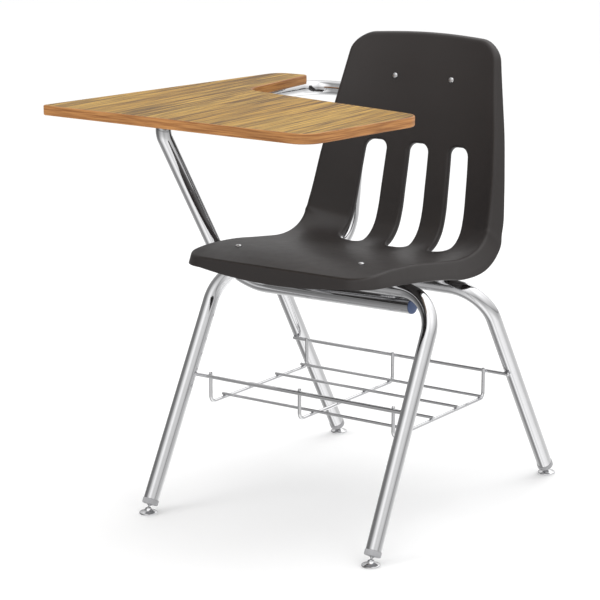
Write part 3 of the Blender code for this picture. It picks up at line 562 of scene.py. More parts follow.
def bar_mesh(name, path, radius, sides, radii=None, capped=True):
    """A round bar along a path; radii scale its thickness from point to point."""
    curve = bpy.data.curves.new(name, "CURVE")
    curve.dimensions = "3D"
    curve.bevel_depth = radius
    curve.bevel_resolution = sides // 2 - 2
    curve.use_fill_caps = True
    spline = curve.splines.new("POLY")
    spline.points.add(len(path) - 1)
    for index, (point, place) in enumerate(zip(spline.points, path)):
        point.co = (*place, 1.0)
        point.radius = radii[index] if radii else 1.0
    guide = add_object(name + "_guide", curve)
    evaluated = guide.evaluated_get(bpy.context.evaluated_depsgraph_get())
    mesh = bpy.data.meshes.new_from_object(evaluated)
    mesh.name = name
    bpy.data.objects.remove(guide, do_unlink=True)
    bpy.data.curves.remove(curve)
    shape = bmesh.new()
    shape.from_mesh(mesh)
    bmesh.ops.remove_doubles(shape, verts=shape.verts, dist=MERGE_REACH)
    bmesh.ops.recalc_face_normals(shape, faces=shape.faces)
    if not capped:
        caps = [face for face in shape.faces if len(face.verts) > 4]
        bmesh.ops.delete(shape, geom=caps, context="FACES_ONLY")
    shape.to_mesh(mesh)
    shape.free()
    return mesh


def add_tube(name, path, radius, replaced):
    """A chrome tube with a real wall and open ends."""
    mesh = bar_mesh(name, path, radius, TUBE_SIDES, capped=False)
    obj = add_piece(name, mesh, "chrome", replaced)
    wall = obj.modifiers.new("wall", "SOLIDIFY")
    wall.thickness = TUBE_WALL
    wall.offset = -1
    apply_modifiers(obj)


def add_wire(name, path, radius, replaced):
    """A chrome wire whose cut ends are slightly rounded."""
    start, end = path[0], path[-1]
    first = start + (path[1] - start).normalized() * radius * WIRE_END_LENGTH
    last = end + (path[-2] - end).normalized() * radius * WIRE_END_LENGTH
    rounded = [start, first] + path[1:-1] + [last, end]
    radii = [WIRE_END_SCALE] + [1.0] * (len(rounded) - 2) + [WIRE_END_SCALE]
    mesh = bar_mesh(name, rounded, radius, WIRE_SIDES, radii)
    add_piece(name, mesh, "chrome", replaced)


def add_turned(name, profile, base, along, finish, replaced, body="chair", ring=False):
    """A piece turned from (radius, z) places, then stood on a point with its +Z along a vector.

    A ring's profile is closed; any other starts and ends on the axis.
    """
    shape = bmesh.new()
    verts = [shape.verts.new((radius, 0.0, height)) for radius, height in profile]
    edges = [shape.edges.new(pair) for pair in zip(verts, verts[1:])]
    if ring:
        edges.append(shape.edges.new((verts[-1], verts[0])))
    bmesh.ops.spin(
        shape,
        geom=verts + edges,
        cent=(0, 0, 0),
        axis=Z_AXIS,
        angle=math.tau,
        steps=TURN_STEPS,
    )
    bmesh.ops.remove_doubles(shape, verts=shape.verts, dist=MERGE_REACH)
    bmesh.ops.recalc_face_normals(shape, faces=shape.faces)
    mesh = mesh_from(shape, name)
    turn = Z_AXIS.rotation_difference(along).to_matrix().to_4x4()
    mesh.transform(Matrix.Translation(base) @ turn)
    add_piece(name, mesh, finish, replaced, body)


def arc(centre, radius, start, end, count):
    """Points (x, z) on an arc; angles in degrees from the +Z axis towards +X."""
    points = []
    for index in range(count + 1):
        angle = math.radians(start + (end - start) * index / count)
        points.append((centre[0] + radius * math.sin(angle), centre[1] + radius * math.cos(angle)))
    return points


def mirrored(point):
    return Vector((-point.x, point.y, point.z))


# ---- seat and back shell
def spline_row(rows, place):
    """Values on a Catmull-Rom curve through the rows; place counts rows from 0."""
    last = len(rows) - 1
    index = min(int(place), last - 1)
    part = place - index
    a, b = rows[max(index - 1, 0)], rows[index]
    c, d = rows[index + 1], rows[min(index + 2, last)]
    return [
        q + part / 2 * (r - p + part * (2 * p - 5 * q + 4 * r - s + part * (3 * (q - r) + s - p)))
        for p, q, r, s in zip(a, b, c, d)
    ]


class ShellSurface:
    """The shell's sitting face, by arc length along it and share of its half width."""

    SAMPLES = 20
    SLOPE_STEP = 0.004
    SEARCH_STEP = 0.001
    WIDEST_SHARE = 0.95

    def __init__(self):
        count = (len(SHELL_STATIONS) - 1) * self.SAMPLES
        self.places = [index / self.SAMPLES for index in range(count + 1)]
        rows = [spline_row(SHELL_STATIONS, place) for place in self.places]
        self.lengths = [0.0]
        for low, high in zip(rows, rows[1:]):
            step = math.hypot(high[0] - low[0], high[1] - low[1])
            self.lengths.append(self.lengths[-1] + step)
        self.total = self.lengths[-1]

    def row(self, length):
        length = min(max(length, 0.0), self.total)
        index = min(max(bisect.bisect_left(self.lengths, length), 1), len(self.lengths) - 1)
        low, high = self.lengths[index - 1], self.lengths[index]
        share = (length - low) / (high - low)
        place = self.places[index - 1] + share * (self.places[index] - self.places[index - 1])
        return spline_row(SHELL_STATIONS, place)

    def half_width(self, length):
        """Half width with the rounded corners at the seat's front and the back's top."""
        width = self.row(length)[2]
        for distance, radius in ((length, FRONT_CORNER_R), (self.total - length, TOP_CORNER_R)):
            if distance < radius:
                inside = max(radius ** 2 - (radius - max(distance, 0.0)) ** 2, 0.0)
                width -= radius - math.sqrt(inside)
        return width

    def centre_normal(self, length):
        low = self.row(length - NORMAL_REACH)
        high = self.row(length + NORMAL_REACH)
        along = Vector((0.0, high[0] - low[0], high[1] - low[1])).normalized()
        return Vector((0.0, -along.z, along.y))

    def crowned(self, share, length):
        """Arc length on the centre line for a point; the top edge falls towards its corners."""
        nearness = max(0.0, 1.0 - (self.total - length) / TOP_CROWN_REACH)
        across = share * self.half_width(length) / self.row(length)[2]
        return length - TOP_CROWN * across ** 2 * nearness ** 2

    def point(self, share, length):
        on_centre = self.crowned(share, length)
        y, z, width, lift, _ = self.row(on_centre)
        x = share * self.half_width(length)
        offset = self.centre_normal(on_centre) * (lift * abs(x / width) ** SHELL_BOWL)
        return Vector((x, y, z)) + offset

    def flange_depth(self, share, length):
        towards_front = 1.0 - length / self.total
        return self.row(length)[4] + FRONT_FLANGE_DROP * towards_front * (1.0 - share ** 2)

    def normal(self, share, length):
        step = self.SLOPE_STEP
        place = min(max(length, step), self.total - step)
        across = self.point(share + step, place) - self.point(share - step, place)
        along = self.point(share, place + step) - self.point(share, place - step)
        return across.cross(along).normalized()

    def length_where(self, test):
        """The first arc length at which the centre line passes a test."""
        length = 0.0
        while length < self.total and not test(self.row(length)):
            length += self.SEARCH_STEP
        return length

    def nearest(self, target):
        """The surface point nearest to a target beneath it, at the target's x."""
        places = []
        for index in range(int(self.total / self.SEARCH_STEP)):
            length = index * self.SEARCH_STEP
            share = target.x / self.half_width(length)
            if abs(share) <= self.WIDEST_SHARE:
                places.append(self.point(share, length))
        return min(places, key=lambda place: (place - target).length)


SURFACE = ShellSurface()
SLOT_LOW = SURFACE.length_where(lambda row: row[0] > SLOT_LOW_Y)
SLOT_HIGH = SURFACE.length_where(lambda row: row[1] > SLOT_HIGH_Z)


def spread(low, high, count):
    return [low + (high - low) * index / count for index in range(count + 1)]


def corner_spread(radius, count):
    """Distances from an end that follow a rounded corner evenly."""
    return [radius * (1 - math.cos(math.pi / 2 * index / count)) for index in range(count)]


def grid_outline(columns, rows):
    """Places around a grid's edge, anticlockwise seen from the sitter's side."""
    outline = [(column, rows[0]) for column in columns[:-1]]
    outline += [(columns[-1], row) for row in rows[:-1]]
    outline += [(column, rows[-1]) for column in reversed(columns[1:])]
    outline += [(columns[0], row) for row in reversed(rows[1:])]
    return outline


class ShellSheet:
    """Open sheet with three slots, built as a grid with a ring of faces around each slot."""

    BLOCK_COLUMNS = 12
    MARGIN_COLUMNS = 6
    BLOCK_ROWS = 56
    RING_LAYERS = 5
    CORNER_ROWS = 10
    SEAT_ROWS = 36
    UPPER_ROWS = 16
    ROLL_STEPS = 7
    WALL_ROWS = 3
    SLOT_MARGIN = 0.022

    def __init__(self):
        self.shape = bmesh.new()
        self.made = {}
        self.shares = self.columns()
        self.low = SLOT_LOW - self.SLOT_MARGIN
        self.high = SLOT_HIGH + self.SLOT_MARGIN
        self.lengths, self.first_row = self.rows()
        self.last_row = self.first_row + self.BLOCK_ROWS

    def columns(self):
        half = SLOT_PITCH_U / 2
        margin = spread(-1.0, -3 * half, self.MARGIN_COLUMNS)[:-1]
        blocks = spread(-3 * half, 3 * half, 3 * self.BLOCK_COLUMNS)
        return margin + blocks + [-share for share in reversed(margin)]

    def rows(self):
        total = SURFACE.total
        front = corner_spread(FRONT_CORNER_R, self.CORNER_ROWS)
        seat = spread(FRONT_CORNER_R, self.low, self.SEAT_ROWS)
        block = spread(self.low, self.high, self.BLOCK_ROWS)
        upper = spread(self.high, total - TOP_CORNER_R, self.UPPER_ROWS)
        corner = corner_spread(TOP_CORNER_R, self.CORNER_ROWS)
        top = [total - length for length in reversed(corner)]
        first_row = len(front) + len(seat) - 1
        return front + seat + block[1:] + upper[1:] + top, first_row

    def vertex(self, share, length):
        key = (round(share, 6), round(length, 6))
        if key not in self.made:
            self.made[key] = self.shape.verts.new(SURFACE.point(share, length))
        return self.made[key]

    def face(self, corners):
        self.shape.faces.new([self.vertex(*corner) for corner in corners])

    def block_of(self, column):
        """The slot block (0, 1 or 2) that a column belongs to, or None in the margins."""
        block = (column - self.MARGIN_COLUMNS) // self.BLOCK_COLUMNS
        return block if 0 <= block <= 2 else None

    def add_grid(self):
        for row in range(len(self.lengths) - 1):
            for column in range(len(self.shares) - 1):
                beside_slot = self.first_row <= row < self.last_row
                if beside_slot and self.block_of(column) is not None:
                    continue
                s0, s1 = self.shares[column], self.shares[column + 1]
                l0, l1 = self.lengths[row], self.lengths[row + 1]
                self.face(((s0, l0), (s1, l0), (s1, l1), (s0, l1)))

    def slot_edge(self, across, along, low):
        """Slot outline for a place on the block's outline, both from -1 to 1."""
        flat = SLOT_HALF_WIDTH - SLOT_CORNER_R
        diagonal = SLOT_CORNER_R * math.sqrt(0.5)
        middle = (low + SLOT_HIGH) / 2
        reach = (SLOT_HIGH - low) / 2
        if abs(along) > 1 - 1e-6:
            x = across * (flat + diagonal)
            over = max(abs(x) - flat, 0.0)
            rise = reach - SLOT_CORNER_R + math.sqrt(SLOT_CORNER_R ** 2 - over ** 2)
            return x, middle + math.copysign(rise, along)
        rise = along * (reach - SLOT_CORNER_R + diagonal)
        over = max(abs(rise) - (reach - SLOT_CORNER_R), 0.0)
        x = flat + math.sqrt(SLOT_CORNER_R ** 2 - over ** 2)
        return math.copysign(x, across), middle + rise

    def add_slot(self, centre):
        half_share = SLOT_PITCH_U / 2
        middle = (self.low + self.high) / 2
        reach = (self.high - self.low) / 2
        width = SURFACE.row(SLOT_LOW)[2]
        slot_low = SLOT_LOW - (SIDE_SLOT_EXTRA if centre else 0.0)
        columns = spread(-1.0, 1.0, self.BLOCK_COLUMNS)
        block = grid_outline(columns, spread(-1.0, 1.0, self.BLOCK_ROWS))
        loops = []
        for layer in range(self.RING_LAYERS + 1):
            inward = layer / self.RING_LAYERS
            loop = []
            for across, along in block:
                x, length = self.slot_edge(across, along, slot_low)
                outer = (centre + across * half_share, middle + along * reach)
                inner = (centre + x / width, length)
                share = outer[0] + (inner[0] - outer[0]) * inward
                loop.append((share, outer[1] + (inner[1] - outer[1]) * inward))
            loops.append(loop)
        count = len(loops[0])
        for outer, inner in zip(loops, loops[1:]):
            for index in range(count):
                ahead = (index + 1) % count
                self.face((outer[index], outer[ahead], inner[ahead], inner[index]))
        depths = [SLOT_LIP_DEPTH] * count
        self.add_skirt(loops[-1], SLOT_LIP_ROLL_R, depths, SLOT_LIP_FLARE, inward=True)

    def add_skirt(self, loop, roll, depths, flare, inward):
        """Roll the sheet's edge away from the sitter and carry it on as a straight wall.

        The wall runs back along the centre line's normal and leans outward by the flare.
        """
        previous = [self.vertex(*place) for place in loop]
        frames = []
        for index, (share, length) in enumerate(loop):
            before = SURFACE.point(*loop[index - 1])
            after = SURFACE.point(*loop[(index + 1) % len(loop)])
            along = (before - after) if inward else (after - before)
            normal = SURFACE.centre_normal(length)
            level = along.cross(normal).normalized()
            outward = along.cross(SURFACE.normal(share, length)).normalized()
            wall = level * math.sin(flare) - normal * math.cos(flare)
            inside = (wall - outward * outward.dot(wall)).normalized()
            frames.append((previous[index].co, outward, inside, outward.angle(wall), wall, normal))
        for step in range(1, self.ROLL_STEPS + 1):
            ring = []
            for start, outward, inside, turn, _, _ in frames:
                angle = turn * step / self.ROLL_STEPS
                bend = outward * math.sin(angle) + inside * (1 - math.cos(angle))
                ring.append(self.shape.verts.new(start + bend * roll))
            self.join(previous, ring, inward)
            previous = ring
        rolled_edge = [vert.co.copy() for vert in previous]
        for step in range(1, self.WALL_ROWS + 1):
            ring = []
            for edge, depth, (start, _, _, _, wall, normal) in zip(rolled_edge, depths, frames):
                rolled = (start - edge).dot(normal)
                reach = (depth - rolled) / math.cos(flare)
                ring.append(self.shape.verts.new(edge + wall * (reach * step / self.WALL_ROWS)))
            self.join(previous, ring, inward)
            previous = ring

    def join(self, first, second, inward):
        count = len(first)
        for index in range(count):
            ahead = (index + 1) % count
            corners = [first[index], first[ahead], second[ahead], second[index]]
            self.shape.faces.new(corners if inward else corners[::-1])

    def build(self):
        self.add_grid()
        for centre in (-SLOT_PITCH_U, 0.0, SLOT_PITCH_U):
            self.add_slot(centre)
        rim = grid_outline(self.shares, self.lengths)
        depths = [SURFACE.flange_depth(*place) for place in rim]
        self.add_skirt(rim, SHELL_ROLL_R, depths, SHELL_FLARE, inward=False)
        return mesh_from(self.shape, "moulded_shell")


def build_shell():
    sheet = ShellSheet().build()
    obj = add_piece("moulded_shell", sheet, "shell_plastic", ("seat_shell",), smooth_angle=60)
    wall = obj.modifiers.new("wall", "SOLIDIFY")
    wall.thickness = SHELL_WALL
    wall.offset = -1
    softened = obj.modifiers.new("softened", "BEVEL")
    softened.width = 0.0009
    softened.segments = 2
    softened.limit_method = "ANGLE"
    softened.angle_limit = math.radians(50)
    apply_modifiers(obj)


# ---- tubular frame
def ball_centre(foot):
    return foot + Vector((0.0, 0.0, BALL_Z))


def leg_direction(foot, top):
    """Unit vector up a leg's axis, which passes through the centre of its glide's ball."""
    return (top - ball_centre(foot)).normalized()


def build_leg_frame(end, foot, top, radius):
    """One tube bent to an upside-down U: two legs and the crossbar under the seat."""
    bottom = ball_centre(foot) + leg_direction(foot, top) * (COLLAR_HIGH + GAP)
    corners = [bottom, top, mirrored(top), mirrored(bottom)]
    path = bent_path(corners, [radius, radius])
    add_tube(end + "_legs_tube", path, TUBE_R, (end + "_leg_frame",))


def hoop_rail(y):
    """Point on the hoop's left rail at a given y."""
    share = (y - HOOP_FRONT_Y) / (HOOP_CORNER_Y - HOOP_FRONT_Y)
    x = HOOP_FRONT_X + (HOOP_REAR_X - HOOP_FRONT_X) * share
    rail_z = FRONT_TOP.z + TUBE_R + HOOP_R + 2 * GAP
    z = rail_z - (max(y, HOOP_KNEE_Y) - FRONT_TOP.y) * HOOP_RAIL_SLOPE
    return Vector((x, y, z - min(y - HOOP_KNEE_Y, 0.0) * HOOP_FRONT_SLOPE))


def hoop_corners():
    """Left half of the hoop from its front end up to its top corner, then the right half."""
    top = Vector((HOOP_REAR_X, HOOP_TOP.y, HOOP_TOP.z))
    corner = hoop_rail(HOOP_CORNER_Y)
    corner.y = HOOP_TOP.y - (HOOP_TOP.z - corner.z) * HOOP_LEAN
    half = [hoop_rail(HOOP_FRONT_Y), hoop_rail(HOOP_KNEE_Y), corner, top]
    return half + [mirrored(point) for point in reversed(half)]


def support_corners():
    """Centre line of the tablet support, from under the seat to behind the back."""
    arm_z = TABLET_UNDERSIDE - 2 * GAP - PLATE_THICKNESS - TUBE_R
    arm_front = Vector((SUPPORT_ARM_X, SUPPORT_ARM_FRONT_Y, arm_z))
    arm_rear = Vector((SUPPORT_ARM_X, SUPPORT_REAR_Y, arm_z))
    rear_end = Vector((SUPPORT_REAR_END_X, SUPPORT_REAR_Y, arm_z))
    return [SUPPORT_END, SUPPORT_LOW, arm_front, arm_rear, rear_end]


def build_end_plug(name, path, tube_r):
    """Push-in plug at a path's start: a domed head over the tube's end and a stub inside it."""
    head_r = tube_r - PLUG_SETBACK
    stub_r = tube_r - TUBE_WALL - PLUG_CLEARANCE
    profile = []
    for angle in spread(0.0, math.pi / 2, 10):
        profile.append((head_r * math.sin(angle), PLUG_RIM + PLUG_DOME * math.cos(angle)))
    profile += [(head_r, GAP), (stub_r, GAP), (stub_r, -PLUG_DEPTH), (0.0, -PLUG_DEPTH)]
    outward = (path[0] - path[1]).normalized()
    add_turned(name + "_cap", profile, path[0], outward, "plug_plastic", (name,))


def build_tubes():
    build_leg_frame("front", FRONT_FOOT, FRONT_TOP, FRONT_BEND_R)
    build_leg_frame("rear", REAR_FOOT, REAR_TOP, REAR_BEND_R)
    hoop = hoop_corners()
    hoop_path = bent_path(hoop, HOOP_BENDS + HOOP_BENDS[::-1])
    add_tube("seat_hoop_tube", hoop_path, HOOP_R, ("seat_back_hoop",))
    support = support_corners()
    add_tube("support_tube", bent_path(support, SUPPORT_BENDS), TUBE_R, ("tablet_support_tube",))

    build_end_plug("support_plug_front", support, TUBE_R)
    build_end_plug("support_plug_rear", support[::-1], TUBE_R)
    build_end_plug("hoop_plug_left", hoop, HOOP_R)
    build_end_plug("hoop_plug_right", hoop[::-1], HOOP_R)


# ---- glides
def glide_base_profile():
    """Swivel foot: bell-shaped steel base with a ball socket that opens upward."""
    socket = arc((0.0, BALL_Z), SOCKET_R, 180, 65, 10)
    socket[0] = (0.0, BALL_Z - SOCKET_R)
    neck = [(0.0042, 0.0096), (0.0046, 0.0096), (0.0049, 0.0089), (0.0055, 0.0079)]
    bell = [(0.0064, 0.0068), (0.0076, 0.0058), (0.0090, 0.0050), (0.0106, 0.0043)]
    skirt = [(0.0124, 0.0038), (0.0139, 0.0034)]
    rim = [(0.0147, 0.0029), (0.0150, 0.0021), (0.0149, 0.0012), (0.0143, 0.0005), (0.0128, 0.0)]
    return socket + neck + bell + skirt + rim + [(0.0, 0.0)]


def glide_stem_profile():
    """Ball stud: shank in the leg insert, a shoulder, a neck and the ball."""
    high = COLLAR_LOW - GAP
    neck_r = 0.0016
    neck_angle = math.degrees(math.asin(neck_r / BALL_R))
    ball = arc((0.0, 0.0), BALL_R, neck_angle, 180, 14)
    ball[-1] = (0.0, -BALL_R)
    shank = [(0.0, STUD_TOP), (STUD_R, STUD_TOP), (STUD_R, high)]
    shoulder = [(0.0041, high), (0.0043, high - 0.0004), (0.0040, high - 0.0009)]
    neck = [(0.0026, 0.0055), (0.0018, 0.0046)]
    return shank + shoulder + neck + ball


def glide_insert_profile():
    """Sleeve in the leg's end: a collar that shows below the tube and a stub inside it."""
    stub_r = TUBE_R - TUBE_WALL - PLUG_CLEARANCE
    bore_r = STUD_R + GAP
    chamfer = 0.0003
    round_r = 0.0022
    stub = [(bore_r, SLEEVE_TOP), (stub_r, SLEEVE_TOP), (stub_r, COLLAR_HIGH)]
    collar = [(COLLAR_R - chamfer, COLLAR_HIGH), (COLLAR_R, COLLAR_HIGH - chamfer)]
    low = arc((COLLAR_R - round_r, COLLAR_LOW + round_r), round_r, 90, 180, 6)
    return stub + collar + low + [(bore_r, COLLAR_LOW)]


def build_glides():
    for side, sign in SIDES.items():
        for end, foot, top in (("front", FRONT_FOOT, FRONT_TOP), ("rear", REAR_FOOT, REAR_TOP)):
            if sign < 0:
                foot, top = mirrored(foot), mirrored(top)
            corner = end + "_" + side
            centre, up_leg = ball_centre(foot), leg_direction(foot, top)
            name, replaced = "glide_sleeve_" + corner, ("glide_insert_" + corner,)
            profile = glide_insert_profile()
            add_turned(name, profile, centre, up_leg, "glide_nylon", replaced, ring=True)
            name, replaced = "glide_stud_" + corner, ("glide_stem_" + corner,)
            add_turned(name, glide_stem_profile(), centre, up_leg, "glide_steel", replaced)
            name, replaced = "glide_disc_" + corner, ("glide_base_" + corner,)
            body = "glide_foot_" + corner
            add_turned(name, glide_base_profile(), foot, Z_AXIS, "glide_steel", replaced, body)


# ---- book rack
def beside_leg(foot, top, inward):
    """Place of a rack rail: on the inner face of a pair of legs, at the rack's height."""
    up_leg = leg_direction(foot, top)
    axis = ball_centre(foot) + up_leg * ((RACK_Z - BALL_Z) / up_leg.z)
    reach = (TUBE_R + RAIL_WIRE_R + 2 * GAP) * math.hypot(1.0, up_leg.y / up_leg.z)
    return axis.x, axis.y + inward * reach


def rack_xs():
    steps = {"right": -1, "middle": 0, "left": 1}
    return {name: RACK_CENTRE_X + step * RACK_PITCH_X for name, step in steps.items()}


def rack_floor_ys():
    return [RACK_FLOOR_CENTRE_Y + step * RACK_FLOOR_PITCH_Y for step in (-1.5, -0.5, 0.5, 1.5)]


def build_rack():
    front_x, front_y = beside_leg(FRONT_FOOT, FRONT_TOP, 1)
    rear_x, rear_y = beside_leg(REAR_FOOT, REAR_TOP, -1)
    for name, x, y in (("front", front_x, front_y), ("rear", rear_x, rear_y)):
        ends = [Vector((sign * (x + RAIL_OVERHANG), y, RACK_Z)) for sign in (-1, 1)]
        add_wire("rack_" + name + "_wire", ends, RAIL_WIRE_R, ("rack_" + name + "_rail",))

    beside = 2 * RAIL_WIRE_R + GAP
    low_y, high_y = front_y + beside, rear_y - beside
    low_z, high_z = RACK_FLOOR_Z, RACK_Z + BASKET_TIP
    section = ((low_y, high_z), (low_y, low_z), (high_y, low_z), (high_y, high_z))
    for name, x in rack_xs().items():
        corners = [Vector((x, y, z)) for y, z in section]
        path = bent_path(corners, [BASKET_BEND_R, BASKET_BEND_R], WIRE_STEP)
        add_wire("rack_basket_wire_" + name, path, RAIL_WIRE_R, ("rack_cross_wire_" + name,))

    floor_z = RACK_FLOOR_Z + RAIL_WIRE_R + FLOOR_WIRE_R + GAP
    reach_x = RACK_PITCH_X + SHELF_OVERHANG
    for number, y in enumerate(rack_floor_ys(), start=1):
        ends = [Vector((RACK_CENTRE_X + sign * reach_x, y, floor_z)) for sign in (-1, 1)]
        replaced = ("rack_floor_wire_" + str(number),)
        add_wire("rack_shelf_wire_" + str(number), ends, FLOOR_WIRE_R, replaced)


# ---- tablet
def tablet_outline():
    """The tablet's outline with its rounded corners, anticlockwise."""
    corners = [Vector((x, y, 0.0)) for x, y, _ in TABLET_CORNERS]
    outline = []
    for index, (_, _, radius) in enumerate(TABLET_CORNERS):
        trio = [corners[index - 1], corners[index], corners[(index + 1) % len(corners)]]
        outline += bent_path(trio, [radius])[1:-1]
    return outline


def inset(outline, distance):
    """The outline moved inward by a distance, along its mitred normals."""
    moved = []
    for index, point in enumerate(outline):
        before = (point - outline[index - 1]).normalized()
        after = (outline[(index + 1) % len(outline)] - point).normalized()
        bisector = Vector((-before.y - after.y, before.x + after.x, 0.0)).normalized()
        inward = Vector((-before.y, before.x, 0.0))
        moved.append(point + bisector * (distance / bisector.dot(inward)))
    return moved


def lofted_mesh(name, outline, profile, capped):
    """A board's edge: the outline repeated at each (inset, z) of a profile, and joined."""
    shape = bmesh.new()
    rings = []
    for distance, z in profile:
        rings.append([shape.verts.new((p.x, p.y, z)) for p in inset(outline, distance)])
    pairs = list(zip(rings, rings[1:]))
    if capped:
        shape.faces.new(rings[0])
        shape.faces.new(rings[-1][::-1])
    else:
        pairs.append((rings[-1], rings[0]))
    count = len(outline)
    for first, second in pairs:
        for index in range(count):
            ahead = (index + 1) % count
            shape.faces.new((first[index], second[index], second[ahead], first[ahead]))
    bmesh.ops.recalc_face_normals(shape, faces=shape.faces)
    return mesh_from(shape, name)


def band_profile():
    """Section of the edge band: square inside, rounded at its two outer edges."""
    quarter = []
    for angle in spread(0.0, math.pi / 2, 6):
        quarter.append((EDGE_ROUND * (1 - math.sin(angle)), EDGE_ROUND * (1 - math.cos(angle))))
    upper = [(distance, TABLET_TOP - drop) for distance, drop in quarter]
    lower = [(distance, TABLET_UNDERSIDE + rise) for rise, distance in quarter]
    return [(EDGE_BAND, TABLET_TOP)] + upper + lower + [(EDGE_BAND, TABLET_UNDERSIDE)]


def build_tablet():
    outline = tablet_outline()
    inside = EDGE_BAND + SHEET_GAP
    band = lofted_mesh("tablet_band", outline, band_profile(), capped=False)
    add_piece("tablet_band", band, "edge_band", ("tablet_edge_band",), smooth_angle=40)
    sheets = (
        ("tablet_sheet", TABLET_TOP - LAMINATE, LAMINATE, "oak_laminate", "tablet_top_laminate"),
        ("tablet_backer", TABLET_UNDERSIDE, BACKING, "backing_sheet", "tablet_backing_sheet"),
    )
    for name, low, thickness, finish, node in sheets:
        mesh = lofted_mesh(name, outline, [(inside, low + thickness), (inside, low)], capped=True)
        add_piece(name, mesh, finish, (node,))


# ---- rivets
def rivet_profile():
    """Domed rivet head with a rounded rim, and the shank below it."""
    profile = []
    for angle in spread(0.0, math.radians(84), 12):
        profile.append((RIVET_HEAD_R * math.sin(angle), RIVET_DOME * math.cos(angle)))
    profile += [(RIVET_HEAD_R, -0.0002), (RIVET_SHANK_R, -0.0004)]
    return profile + [(RIVET_SHANK_R, -RIVET_DEPTH), (0.0, -RIVET_DEPTH)]


def build_rivets():
    for side, sign in SIDES.items():
        rail = hoop_rail(SEAT_RIVET_Y)
        rail.x *= sign
        bar = Vector((sign * BACK_RIVET_X, HOOP_TOP.y, HOOP_TOP.z))
        for name, target in (("seat_rivet_" + side, rail), ("back_rivet_" + side, bar)):
            surface = SURFACE.nearest(target)
            outward = (surface - target).normalized()
            base = surface + outward * RIVET_GAP
            add_turned(name + "_head", rivet_profile(), base, outward, "rivet_metal", (name,))


# ---- welds
class Welds:
    """Short lumpy beads where tubes and wires touch, gathered into one piece."""

    RIPPLE_LENGTH = 0.0012
    RIPPLE = 0.12
    THIN_END = 0.35
    BEAD_SIDES = 12

    def __init__(self, name, seed):
        self.name = name
        self.draw = random.Random(seed)
        self.shape = bmesh.new()

    def bead(self, centre, along, length, radius):
        """One bead: a bar whose thickness ripples, thin at both ends."""
        count = max(6, round(length / self.RIPPLE_LENGTH))
        path = []
        radii = []
        for index in range(count + 1):
            share = index / count
            path.append(centre + along * (length * (share - 0.5)))
            ripple = 1.0 + self.draw.uniform(-self.RIPPLE, self.RIPPLE)
            swell = math.sin(math.pi * share) ** 0.5
            radii.append(ripple * (self.THIN_END + (1 - self.THIN_END) * swell))
        mesh = bar_mesh("bead", path, radius, self.BEAD_SIDES, radii)
        self.shape.from_mesh(mesh)
        bpy.data.meshes.remove(mesh)

    def pair(self, contact, along, across, size):
        """Two beads on either side of a line of contact."""
        offset, length, radius = size
        for sign in (-1, 1):
            self.bead(contact + across * (sign * offset), along, length, radius)

    def finish(self):
        mesh = mesh_from(self.shape, self.name)
        add_piece(self.name, mesh, "chrome", smooth_angle=70)
        mesh.materials.clear()
        mesh.materials.append(WELD)


def build_frame_welds():
    """Beads that join the hoop to the crossbars, and the support to the frame and the hoop."""
    welds = Welds("frame_welds", 3)
    for sign in SIDES.values():
        for crossbar in (FRONT_TOP, REAR_TOP):
            rail = hoop_rail(crossbar.y)
            contact = Vector((sign * rail.x, crossbar.y, crossbar.z + TUBE_R))
            run = Vector((0.0, 1.0, -HOOP_RAIL_SLOPE)).normalized()
            welds.pair(contact, run, X_AXIS, HOOP_WELD)
        arm_z = support_corners()[-1].z
        upright_y = HOOP_TOP.y - (HOOP_TOP.z - arm_z) * HOOP_LEAN
        contact = Vector((sign * HOOP_REAR_X, upright_y + HOOP_R, arm_z))
        offset, length, radius = UPRIGHT_WELD
        welds.bead(contact - X_AXIS * (sign * offset), Z_AXIS, length, radius)
    contact_y = (SUPPORT_END.y + FRONT_TOP.y) / 2
    contact_z = (SUPPORT_END.z + FRONT_TOP.z) / 2
    for shift in SUPPORT_WELD_SHIFTS:
        moved = Vector((shift, shift * CONTACT_SLOPE_Y, shift * CONTACT_SLOPE_Z))
        contact = Vector((SUPPORT_WELD_X, contact_y, contact_z)) + moved
        welds.pair(contact, X_AXIS, Y_AXIS, SUPPORT_WELD)
    welds.finish()


def build_rack_welds():
    """Beads that join the rack's wires to each other and to the legs."""
    welds = Welds("rack_welds", 5)
    for foot, top, inward in ((FRONT_FOOT, FRONT_TOP, 1), (REAR_FOOT, REAR_TOP, -1)):
        x, y = beside_leg(foot, top, inward)
        for sign in SIDES.values():
            contact = Vector((sign * x, y - inward * RAIL_WIRE_R, RACK_Z))
            welds.pair(contact, X_AXIS, Z_AXIS, LEG_WELD)
        for wire_x in rack_xs().values():
            contact = Vector((wire_x, y + inward * RAIL_WIRE_R, RACK_Z))
            welds.pair(contact, Z_AXIS, X_AXIS, BASKET_WELD)
    floor_z = RACK_FLOOR_Z + RAIL_WIRE_R
    for wire_x in rack_xs().values():
        for y in rack_floor_ys():
            welds.pair(Vector((wire_x, y, floor_z)), Y_AXIS, X_AXIS, SHELF_WELD)
    welds.finish()


# ---- CAD nodes that stay
def finish_kept_nodes():
    """Give the CAD nodes that still show the finish of their slot in the record."""
    slots = {part["node"]: part["material_slot"] for part in frame["record"]["subparts"]}
    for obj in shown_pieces():
        node = obj.get("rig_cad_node")
        if node:
            for holder in obj.material_slots:
                holder.material = FINISHES[slots[node]]


# ---- studio
def add_floor():
    shape = bmesh.new()
    bmesh.ops.create_circle(shape, cap_ends=True, segments=96, radius=FLOOR_R)
    mesh = mesh_from(shape, "studio_floor")
    mesh.materials.append(pale_floor())
    floor = add_object("studio_floor", mesh)
    floor.visible_glossy = False


def aim(obj, direction):
    """Turn a light or a camera to look along a direction."""
    obj.rotation_euler = direction.to_track_quat("-Z", "Y").to_euler()


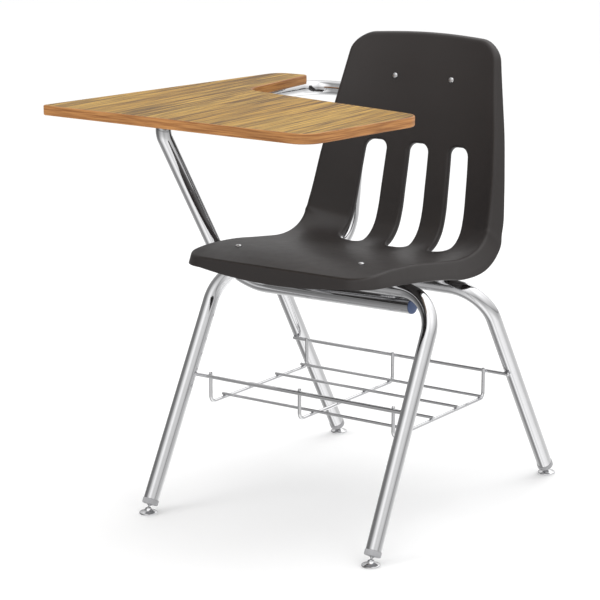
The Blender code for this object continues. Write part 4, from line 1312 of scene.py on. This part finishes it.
def add_light(name, place, size, power):
    """A soft square light, which shiny metal doesn't see, aimed at the middle of the chair."""
    lamp = bpy.data.lights.new(name, "AREA")
    lamp.size = size
    lamp.energy = power
    light = add_object(name, lamp)
    light.location = place
    light.visible_glossy = False
    aim(light, SHIFT + LIGHT_TARGET - light.location)


def surroundings(room):
    """What shiny metal sees: a dim room by height, crossed by lit and unlit panels by azimuth."""
    place = room.add("TexCoord", {}).outputs["Generated"]
    turn = (0.0, 0.0, -math.atan2(CAMERA_PLACE.y, CAMERA_PLACE.x))
    turned = room.add("Mapping", {"Rotation": turn, "Vector": place})
    split = room.add("SeparateXYZ", {"Vector": turned.outputs[0]}).outputs
    azimuth = room.add("Math", {0: split["Y"], 1: split["X"]})
    azimuth.operation = "ARCTAN2"
    shades = []
    rows = ((azimuth.outputs[0], math.pi, PANELS), (split["Z"], 1.0, HEIGHTS))
    for source, reach, stops in rows:
        scaled = room.add("MapRange", {"From Min": -reach, "From Max": reach, "Value": source})
        shades.append(room.ramp(scaled.outputs["Result"], stops))
    return room.mix(1.0, *shades, "MULTIPLY")


def light_studio():
    """White room for the eye and for soft light, with panelled surroundings for reflections."""
    world = bpy.data.worlds.new("studio")
    bpy.context.scene.world = world
    world.use_nodes = True
    room = Nodes(world.node_tree)
    glossy = room.add("LightPath", {}).outputs["Is Glossy Ray"]
    colour = room.mix(glossy, ROOM_WHITE, surroundings(room))
    room.give(room.tree.nodes["Background"].inputs["Color"], colour)
    add_light("key_light", (-1.6, -2.4, 3.0), 1.6, 22.0)
    add_light("fill_light", (2.8, -1.2, 1.6), 1.4, 6.0)
    add_light("top_light", (0.2, 0.6, 3.2), 2.0, 24.0)


def add_camera():
    lens = bpy.data.cameras.new("camera")
    lens.lens = CAMERA_LENS
    lens.sensor_width = 36.0
    camera = add_object("camera", lens)
    camera.location = SHIFT + CAMERA_PLACE
    aim(camera, CAMERA_TARGET - CAMERA_PLACE)
    bpy.context.scene.camera = camera


build_shell()
build_tubes()
build_glides()
build_rack()
build_tablet()
build_rivets()
build_frame_welds()
build_rack_welds()
finish_kept_nodes()
add_floor()
light_studio()
add_camera()
bpy.context.scene.view_settings.view_transform = "Standard"

bpy.context.view_layer.update()
